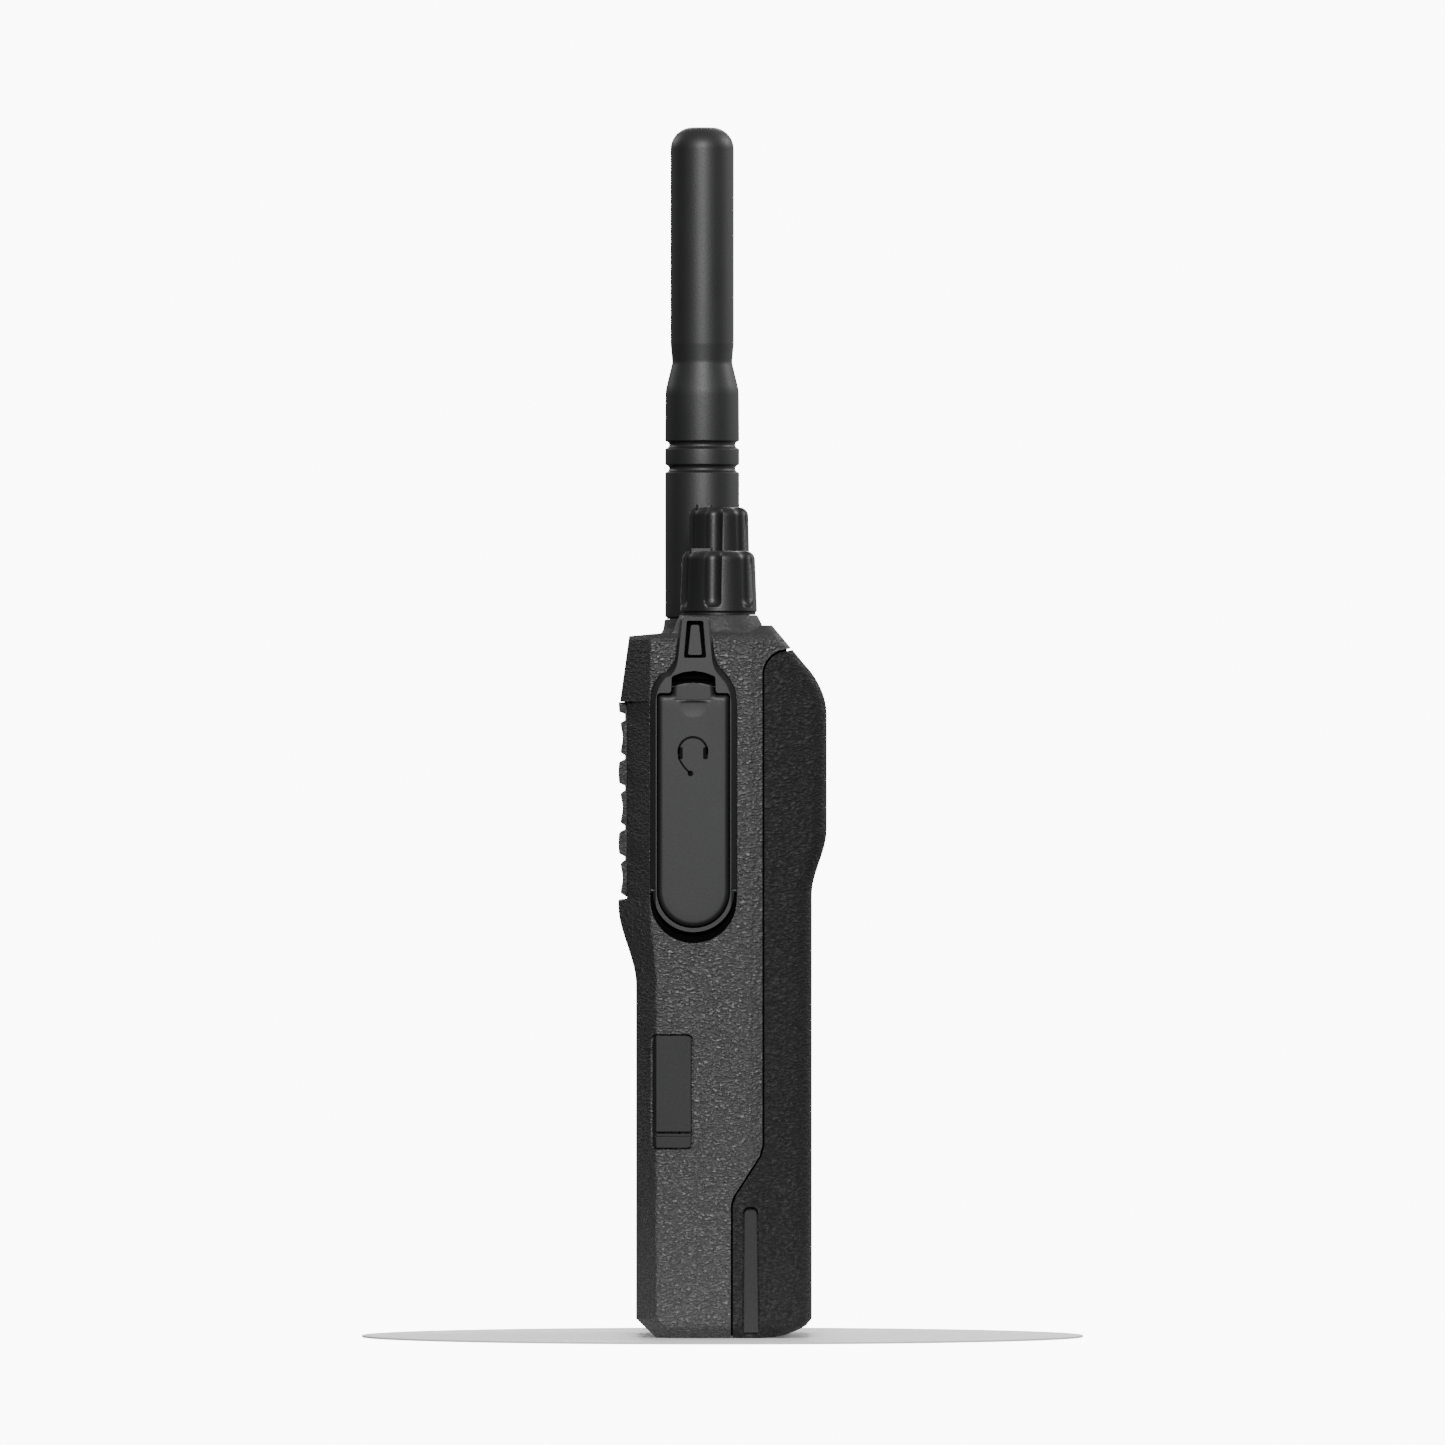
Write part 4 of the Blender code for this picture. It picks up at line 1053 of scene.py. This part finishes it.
def make_knob(node, body, shoulder, bottom_radius, skirt, flute_foot):
    """A tapered knob with six scooped flutes, a rounded crown, a raised index bar and a hidden skirt."""
    low, high = span(node)
    centre = middle(node)
    top = high.z - 0.45
    height = top - low.z
    around = 252
    scoop, bite, edge = 1.7, 1.0, 1.5
    heights = [0.0, 0.12, 0.35] + [0.35 + 3.2 * step / 16 for step in range(1, 17)]
    heights += [3.55 + (height - 3.55 - edge) * step / 6 for step in range(1, 7)]
    foot = bottom_radius - 0.25
    bushing, skirt_low, skirt_top = 3.1, 122.98, 123.74
    under = [(bushing, 123.6), (bushing, skirt_low), (skirt, skirt_low), (skirt, skirt_top)]
    under += [(foot, skirt_top), (foot, low.z)]
    rings = [knob_ring(centre, z, radius, 0, 1, scoop, bite, around) for radius, z in under]
    for h in heights:
        taper = bottom_radius + (shoulder - bottom_radius) * h / (height - edge)
        foot_round = 0.35 * (1 - min(h / 0.35, 1.0)) ** 2
        wall = taper - foot_round
        rings.append(knob_ring(centre, low.z + h, wall, h, flute_foot, scoop, bite, around))
    for step in range(1, 11):
        angle = math.radians(90 * step / 10)
        inset = edge * (1 - math.cos(angle))
        h = height - edge + edge * math.sin(angle)
        rings.append(knob_ring(centre, low.z + h, shoulder - inset, h, flute_foot, scoop, bite, around))
    dish = 0.25
    for share, drop in ((0.75, 0.0), (0.68, dish * 0.6), (0.5, dish), (0.004, dish)):
        h = height - drop
        flat = (shoulder - edge) * share
        rings.append(knob_ring(centre, low.z + h, flat, h, flute_foot, scoop, 0.0, around))
    bar_half = 1.35
    bar_start = (centre.x - bar_half, centre.y - shoulder + 1.2)
    bar = oblong(bar_start, (centre.x + bar_half, centre.y - 1.0), 0.5)
    knob = raw_object(f"{node}_fluted", merged([loft(rings), prism(bar, "z", top - 0.6, high.z)]))
    finished(knob, KNOB, body, [node])


def soft_minimum(first, second, blend):
    """The smaller of two numbers, with a rounded change-over."""
    share = max(blend - abs(first - second), 0.0) / blend
    return min(first, second) - share * share * blend / 4


def knob_ring(centre, z, radius, height, foot, scoop, bite, around):
    """One ring of a knob: a circle bitten by six scoops that fade in at their foot."""
    rise = min(max((height - foot) / 1.5, 0.0), 1.0)
    depth = bite * math.sqrt(1 - (1 - rise) ** 2)
    ring = []
    for step in range(around):
        angle = 2 * math.pi * step / around
        nearest = round((math.degrees(angle) + 9) / 60) * 60 - 9
        away = angle - math.radians(nearest)
        reach = radius + scoop - depth
        inside = scoop ** 2 - (reach * math.sin(away)) ** 2
        wall = radius
        if depth > 0 and inside > 0:
            wall = soft_minimum(radius, reach * math.cos(away) - math.sqrt(inside), 0.22)
        ring.append((centre.x + wall * math.cos(angle), centre.y + wall * math.sin(angle), z))
    return ring


def make_antenna_sheath():
    """Moulded sheath: dome, long barrel, waist, flare, two grip rings and a foot."""
    low, high = span("antenna_sheath")
    dome, barrel, waist, foot, bore = 3.8, 5.47, 5.17, 6.4, 3.6
    lip_outer, lip_inner, lip_z = 6.1, 5.75, 123.14
    corners = [(0.01, high.z, 0)]
    corners += [(r, z, 0) for r, z in arc((barrel - dome, high.z - dome), dome, 90, 0, 14)]
    corners += [(barrel, 170.6, 6.0), (waist, 167.4, 2.5), (foot - 0.06, 162.6, 8.0)]
    for groove in (153.2, 149.1):
        corners.append((foot, groove + 0.75, 0.15))
        for angle in range(75, -90, -15):
            depth = 0.68 * math.cos(math.radians(angle))
            corners.append((foot - depth, groove + 0.62 * math.sin(math.radians(angle)), 0))
        corners.append((foot, groove - 0.75, 0.15))
    corners += [(foot, low.z + 0.1, 0.3), (lip_outer, low.z, 0), (lip_outer, lip_z, 0)]
    corners += [(lip_inner, lip_z, 0), (lip_inner, low.z, 0)]
    corners += [(bore, low.z, 0.1), (bore, 194.0, 0), (0.01, 194.5, 0)]
    profile = rounded_path(corners, 6, closed=False)
    sheath = raw_object("antenna_sheath_moulding", turned(profile, (MAST.x, MAST.y, 0), segments=128))
    finished(sheath, ANTENNA, "antenna", ["antenna_sheath"])


def coil(name, turns, radius, height, wire, material):
    """Round wire on a helix that stands at the origin."""
    sizes = {"Radius": radius * MM, "Height": height * MM, "Wire": wire * MM}
    return HELIX.made(name, {"Turns": turns, **sizes, "Material": material})


def make_coils():
    """The antenna's helical element and the latch spring, as round wire."""
    low, high = span("antenna_coil")
    end = 0.4
    element = coil("antenna_element", 16.0, 2.7, high.z - low.z - 2 * end, 0.36, BRASS)
    move_mesh(element, (MAST.x, MAST.y, low.z + end))
    finished(element, BRASS, "antenna", ["antenna_coil"])
    low, high = span("latch_spring")
    end = 0.2
    spring = coil("latch_return_spring", 6.0, 0.78, high.y - low.y - 2 * end, 0.15, STEEL)
    move_mesh(spring, (0, low.y + end, middle("latch_spring").z), (-90, "X"))
    finished(spring, STEEL, "battery", ["latch_spring"])
    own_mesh(spring)


# ---------------------------------------------------------------- accessory side


def make_accessory_frame():
    """Frame round the accessory cover: bevelled arch and rails, cup, and a neck with a framed pad."""
    low_x, high_x = FRAME_LOW.x, FRAME_HIGH.x
    bevel = [(low_x, 0, 0), (27.5, 0, 0), (27.72, -0.1, -0.04), (28.3, -0.86, -0.26), (high_x, -0.97, -0.34)]
    rings = [[(x, y, z) for y, z in frame_outline(grow, neck_grow)] for x, grow, neck_grow in bevel]
    trim = raw_object("accessory_frame_trim", loft(rings))
    cut_through(trim, cover_outline(0.17, 114.12))
    window = raw_object("window", prism(neck_trapezoid(0.0), "x", 20, 40))
    cut_through(window, neck_trapezoid(0.72), 20, high_x - 0.12)
    cut_through(window, neck_trapezoid(-0.5), 20, 27.0)
    absorbed(trim, window, "DIFFERENCE")
    scoop = arc((COVER_Y, BOWL_Z), FRAME_RADIUS + 1.5, 180, 360, 40)
    scoop += arc((COVER_Y, COVER_BOWL_Z), 6.95, 360, 180, 40)
    cut_through(trim, scoop)
    for side in (-1, 1):
        notch_y = COVER_Y + side * 6.9
        cut_through(trim, oblong((notch_y - 0.45, 76.55), (notch_y + 0.45, 77.05), 0.2), 27.3)
    pin = middle("accessory_hinge_pin")
    combine(trim, cylinder(0.45, COVER_Y - 5.6, COVER_Y + 5.6, (pin.x, 0, pin.z), "y", 20))
    soften(trim, 0.09, 2, 35)
    finished(trim, FRAME_TRIM, "radio", ["accessory_frame"])
    # Painted shade: a black sheet behind the neck window stands for the shade inside it.
    shadow = raw_object("neck_window_liner", prism(neck_trapezoid(0.03), "x", 26.98, 27.08))
    finished(shadow, PAINTED_SHADE, "radio")
    # Painted shade: a black sheet behind the whole frame stands for the shade seen through the gaps round the
    # cover, the finger gap and the scoop.
    shade_sheet = raw_object("accessory_frame_gasket", prism(frame_outline(-0.04), "x", 26.61, 26.85))
    cut_through(shade_sheet, oblong((-10.7, 79.3), (-0.9, 100.7), 1.0))
    combine(shade_sheet, box((20, 40), HINGE_POCKET_Y, HINGE_POCKET_Z))
    finished(shade_sheet, PAINTED_SHADE, "radio")
    # Painted shade: a black sheet on the floor of the hinge pocket stands for its shade.
    pocket_shade = raw_object("hinge_pocket_liner", box((26.12, 26.22), HINGE_POCKET_Y, HINGE_POCKET_Z))
    finished(pocket_shade, PAINTED_SHADE, "radio")


def neck_trapezoid(inset):
    """The window in the neck, in Y and Z, narrower at its top."""
    low, high = 116.35 + inset * 0.7, 122.7 - inset
    foot = [(-6.62 + inset, low, 0.35), (-2.78 - inset, low, 0.35)]
    head = [(-3.3 - inset, high, 0.35), (-6.1 + inset, high, 0.35)]
    return rounded_path(foot + head, 5)


def make_accessory_cover():
    """Crowned cover with a softened rim, a crease over a thumb hollow, and a headset symbol."""
    inner_x, outer_x = COVER_LOW.x, COVER_HIGH.x
    rings = [[(inner_x, y, z) for y, z in cover_outline()]]
    for step in range(9):
        angle = math.radians(90 * step / 8)
        inset, x = 0.95 * (1 - math.cos(angle)), outer_x - 0.72 + 0.7 * math.sin(angle)
        rings.append([(x, y, z) for y, z in cover_outline(-inset)])
    rings.append([(outer_x, y, z) for y, z in cover_outline(-2.3)])
    cover = raw_object("accessory_cover_panel", loft(rings))
    hollow = []
    for a in range(0, 185, 5):
        height = 12.0 if a <= 90 else 2.5
        radius = max(12.0 * math.sin(math.radians(a)), 0.01 if a else 0.0)
        hollow.append((radius, -height * math.cos(math.radians(a))))
    thumb = turned(hollow, segments=72)
    bmesh.ops.transform(thumb, matrix=Matrix.Diagonal((0.45, 1.0, 1.0, 1.0)), verts=thumb.verts)
    bmesh.ops.translate(thumb, vec=(outer_x + 5.27, COVER_Y, 108.55), verts=thumb.verts)
    combine(cover, thumb)
    combine(cover, box((outer_x - 0.12, 40), (COVER_Y - 3.4, COVER_Y + 3.4), (109.1, 109.28)))
    pin = middle("accessory_hinge_pin")
    combine(cover, cylinder(0.45, COVER_Y - 9, COVER_Y + 9, (pin.x, 0, pin.z), "y", 20))
    soften(cover, 0.05, 2, 40)
    finished(cover, COVER_TRIM, "accessory_cover", ["accessory_cover"])
    make_headset_symbol()


def ribbon(points, width):
    """An outline of even width along an open line."""
    left, right = [], []
    for index, point in enumerate(points):
        before = Vector(points[max(index - 1, 0)])
        after = Vector(points[min(index + 1, len(points) - 1)])
        across = (after - before).normalized()
        across = Vector((-across.y, across.x)) * width / 2
        left.append(tuple(Vector(point) + across))
        right.append(tuple(Vector(point) - across))
    return left + list(reversed(right))


def make_headset_symbol():
    """A generic headset pictogram printed on the cover."""
    face = COVER_HIGH.x
    low, high = face - 0.06, face + 0.025
    y, z = COVER_Y - 0.1, 100.35
    band = ribbon(arc((y, z), 2.45, -12, 192, 30), 0.38)
    cups = [oblong((y + side - 0.4, 99.05), (y + side + 0.4, 101.05), 0.12, 3) for side in (-2.15, 2.15)]
    steps = [step / 12 for step in range(13)]
    boom = ribbon([(y - 2.42 + 1.95 * t ** 1.6, 99.6 - 3.0 * t) for t in steps], 0.32)
    mouth = arc((y - 0.42, 96.6), 0.5, 0, 345, 23)
    shapes = [prism(outline, "x", low, high) for outline in (band, *cups, boom, mouth)]
    symbol = raw_object("headset_symbol", merged(shapes))
    finished(symbol, INK, "accessory_cover")


def make_port_door():
    """Rubber flap and its fixed strip, parted by a fine moulded hinge line."""
    door_low, door_high = span("port_door")
    anchor_low, _ = span("port_door_anchor")
    back, face = 26.6, HALF_WIDTH + 0.02
    chamfer = [(back, door_high.y, 0), (face, door_high.y, 0.2), (face, -11.35, 0.3)]
    chamfer += [(26.92, door_low.y, 0.05), (back, door_low.y, 0)]
    for name, node, body, low, high in (
        ("port_door_flap", "port_door", "port_door", door_low.z - 0.22, door_high.z),
        ("port_door_strip", "port_door_anchor", "radio", anchor_low.z, 34.95),
    ):
        flap = raw_object(name, prism(rounded_path(chamfer, 4), "z", low, high))
        outline = oblong((door_low.y, anchor_low.z), (door_high.y, door_high.z), 0.95)
        combine(flap, prism(outline, "x", 20, 40), "INTERSECT")
        combine(flap, box((HALF_WIDTH - 0.2, 40), (-30, 0), (34.42, 34.6)))
        soften(flap, 0.08, 2, 35)
        finished(flap, DOOR_RUBBER, body, [node])


# ---------------------------------------------------------------- push-to-talk side


def crowned_button(name, node, body, grip_rows):
    """A rubber side button: crowned face, retaining flange, and raised grip ridges."""
    face, inner = span(node)[0].x, span(node)[1].x
    crown = [(inner, 0.0), (face + 1.2, 0.0), (face + 0.75, 0.06), (face + 0.45, 0.25)]
    crown += [(face + 0.22, 0.6), (face + 0.08, 1.15), (face + 0.02, 2.2)]
    rings = [[(x, y, z) for y, z in button_outline(node, -inset)] for x, inset in crown]
    button = raw_object(name, loft(rings))
    combine(button, prism(button_outline(node, 0.6), "x", inner - 0.7, inner), "UNION")
    if grip_rows:
        centre = middle(node)
        spacing = 2.0
        start = centre.z - (grip_rows - 1) * spacing / 2
        outline = oblong((centre.y - 2.6, start - 0.3), (centre.y + 2.6, start + 0.3), 0.28)
        ridge = raw_object("ridge", prism(outline, "x", face, face + 0.5))
        absorbed(button, stacked("ridges", ridge, grip_rows, (0, 0, spacing), BUTTON), "UNION")
    soften(button, 0.06, 2, 40)
    finished(button, BUTTON, body, [node])


def make_push_to_talk_side():
    """Bevelled bezel and its three side buttons."""
    low, high = span("ptt_bezel")
    bevel = [(high.x, 0.0), (-27.5, 0.0), (-27.72, 0.12), (-27.85, 0.35), (low.x, 0.6)]
    rings = [[(x, y, z) for y, z in bezel_outline(-inset)] for x, inset in bevel]
    bezel = raw_object("ptt_bezel_trim", loft(rings))
    for node in BUTTONS:
        cut_through(bezel, button_outline(node, 0.15), -40, -20)
    soften(bezel, 0.08, 2, 35)
    finished(bezel, FRAME_TRIM, "radio", ["ptt_bezel"])
    crowned_button("ptt_button_pad", "ptt_button", "ptt_button", 7)
    crowned_button("upper_side_button_pad", "upper_side_button", "upper_side_button", 0)
    crowned_button("lower_side_button_pad", "lower_side_button", "lower_side_button", 2)


# ---------------------------------------------------------------- latch, lens, screws


def make_latch_pad():
    """Thumb slide in the base, with grip ridges."""
    low, high = span("battery_latch")
    outline = oblong((-5.0, 5.4), (5.0, 10.0), 0.7)
    pad = raw_object("battery_latch_slide", prism(outline, "z", low.z + 0.05, 1.6))
    combine(pad, box((-2.4, 2.4), (6.0, 9.0), (1.2, 6.0)), "UNION")
    combine(pad, box((-6.3, 6.3), (4.7, 9.5), (2.4, 3.4)), "UNION")
    combine(pad, box((-3.0, 3.0), (4.2, 9.5), (4.9, high.z)), "UNION")
    ridge = raw_object("ridge", prism(oblong((-3.8, 6.1), (3.8, 6.55), 0.2), "z", low.z, low.z + 0.4))
    absorbed(pad, stacked("ridges", ridge, 4, (0, 1.0, 0), FRAME_TRIM), "UNION")
    soften(pad, 0.08, 2, 35)
    finished(pad, FRAME_TRIM, "battery_latch", ["battery_latch"])


def make_latch_tongue():
    """The sprung bolt that keeps the battery in: a steel tongue with a sloping nose."""
    low, high = span("latch_tongue")
    nose = [(high.y, low.z, 0), (high.y, high.z, 0), (low.y, high.z, 0.2)]
    nose += [(low.y, high.z - 0.7, 0.2), (1.1, low.z, 0.3)]
    bolt = raw_object("latch_tongue_bolt", prism(rounded_path(nose, 4), "x", low.x, high.x))
    soften(bolt, 0.12, 2, 40)
    finished(bolt, STEEL, "battery", ["latch_tongue"])
    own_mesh(bolt)


def make_status_lens():
    """Small domed light guide with a flange under the top of the housing."""
    low, high = span("status_lens")
    centre = middle("status_lens")
    flange, flange_top, stem = 2.4, 117.8, 1.5
    corners = [(0.01, low.z, 0), (flange, low.z, 0.1), (flange, flange_top, 0.1), (stem, flange_top, 0.05)]
    corners += [(stem, high.z - 0.2, 0.3), (0.9, high.z, 0.8), (0.01, high.z, 0)]
    profile = rounded_path(corners, 5, closed=False)
    lens = raw_object("status_lens_dome", turned(profile, (centre.x, centre.y, 0), segments=48))
    finished(lens, LENS, "radio", ["status_lens"])


# ---------------------------------------------------------------- carried-over CAD nodes

NODE_FINISHES = {
    BLACK_STEEL: ["accessory_hinge_pin"],
    BOARD: ["battery_board", "main_board", "side_switch_board"],
    BRASS: ["antenna_socket", "antenna_stud", "channel_nut", "volume_nut"],
    CASTING: ["chassis"],
    CLOTH: ["speaker_cloth"],
    FOIL: ["battery_cell_left", "battery_cell_right"],
    INNER: ["accessory_jack", "battery_cover", "channel_switch", "contact_block", "volume_switch"],
    PAPER: ["speaker_cone"],
    SEAL: ["chassis_seal", "microphone_boot"],
    STEEL: [
        "board_shield", "channel_shaft", "microphone", "port_socket", "speaker_basket", "speaker_bracket",
        "speaker_magnet", "volume_shaft",
    ],
}
NUMBERED_FINISHES = {
    BRASS: {"battery_pad": 3, "charge_contact": 2, "contact_spring": 3},
    STEEL: {"chassis_screw": 4},
}


def paint_cad_nodes():
    """Gives every CAD node that stays its own procedural finish."""
    painted = [(name, material) for material, names in NODE_FINISHES.items() for name in names]
    for material, counts in NUMBERED_FINISHES.items():
        for name, count in counts.items():
            painted += [(f"{name}_{number}", material) for number in range(1, count + 1)]
    for name, material in painted:
        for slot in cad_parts[name].material_slots:
            slot.material = material


# ---------------------------------------------------------------- studio


def area_light(name, place, size, power):
    """A soft box aimed at the middle of the radio, unseen by the camera."""
    target = (0, 0, 0.1)
    light = bpy.data.lights.new(name, "AREA")
    light.shape = "RECTANGLE"
    light.size, light.size_y = size
    light.energy = power
    made = bpy.data.objects.new(name, light)
    made.location = place
    made.rotation_euler = (Vector(target) - Vector(place)).to_track_quat("-Z", "Y").to_euler()
    made.visible_camera = False
    bpy.context.scene.collection.objects.link(made)


def make_studio():
    """Pale round table, a white wall of light behind it, and soft boxes."""
    table_radius, table_bottom, table_top = 62.0, -0.35, -0.02
    disc = cylinder(table_radius, table_bottom, table_top, (0, 0, 0), segments=128)
    table = raw_object("pale_table", disc)
    finish = Finish("pale_table_top", roughness=0.6, Emission_Strength=0.1)
    finish.set("Emission Color", (1.0, 1.0, 1.0, 1.0))
    finish.set("Base Color", finish.mix(finish.noise(40.0), (0.88, 0.88, 0.88), (0.92, 0.92, 0.92)))
    finish.set("Roughness", 0.55 + finish.noise(2.0) * 0.1)
    table.data.materials.append(finish.material)
    make_surroundings()
    area_light("key_soft_box", (1.0, 0.0, 0.56), (0.2, 0.2), 10.5)
    area_light("fill_soft_box", (2.5, 0.0, 0.2), (0.6, 0.5), 6.2)
    area_light("front_soft_box", (-1.1, -1.1, 0.8), (0.5, 0.5), 4.0)
    area_light("rear_soft_box", (-0.6, 1.4, 0.9), (0.5, 0.5), 9.0)
    area_light("far_soft_box", (-1.4, 0, 0.7), (0.6, 0.6), 6.0)


def make_surroundings():
    """Grey surroundings, lighter above and towards one rear corner, and a white wall far behind."""
    world = bpy.data.worlds.new("studio")
    world.use_nodes = True
    nodes = Nodes(world.node_tree)
    direction = nodes.node("TexCoord").outputs["Generated"]
    apart = nodes.node("SeparateXYZ", {}, {0: direction})
    sky = Value(nodes, apart.outputs["Z"]).ramp(-0.2, 0.9, 0.02, 0.3)
    wall = Value(nodes, apart.outputs["X"]).ramp(-0.9976, -0.985, 10.0, 0.0)
    rear_corner = (-0.8, 0.6, 0.0)
    towards = nodes.node("VectorMath", {"operation": "DOT_PRODUCT"}, {0: direction, 1: rear_corner})
    glow = Value(nodes, towards.outputs["Value"]).ramp(0.25, 0.9, 0.0, 0.55)
    background = nodes.tree.nodes["Background"]
    nodes.feed(background.inputs["Strength"], sky + glow + wall)
    nodes.feed(background.inputs["Color"], (1.0, 1.0, 1.0, 1.0))
    bpy.context.scene.world = world


def make_camera():
    """Level view of the accessory side."""
    distance, view_height, view_width = 5.0, 0.1053, 0.2471
    data = bpy.data.cameras.new("camera")
    data.type = "PERSP"
    data.sensor_width = 36.0
    data.lens = data.sensor_width * (distance - HALF_WIDTH * MM) / view_width
    data.clip_end = 50.0
    camera = bpy.data.objects.new("camera", data)
    camera.location = (distance, 0, view_height)
    camera.rotation_euler = (math.radians(90), 0, math.radians(90))
    bpy.context.scene.collection.objects.link(camera)
    bpy.context.scene.camera = camera


make_studio()
make_camera()
make_front_housing()
make_battery_case()
make_charger_groove_liners()
make_seam_shade_sheets()
make_speaker_grille()
make_knob("volume_knob", "volume_control", 6.24, 6.6, 5.0, 1.0)
make_knob("channel_knob", "channel_control", 5.1, 5.5, 4.5, 1.0)
make_antenna_sheath()
make_coils()
make_accessory_frame()
make_accessory_cover()
make_port_door()
make_push_to_talk_side()
make_latch_pad()
make_latch_tongue()
make_status_lens()
paint_cad_nodes()
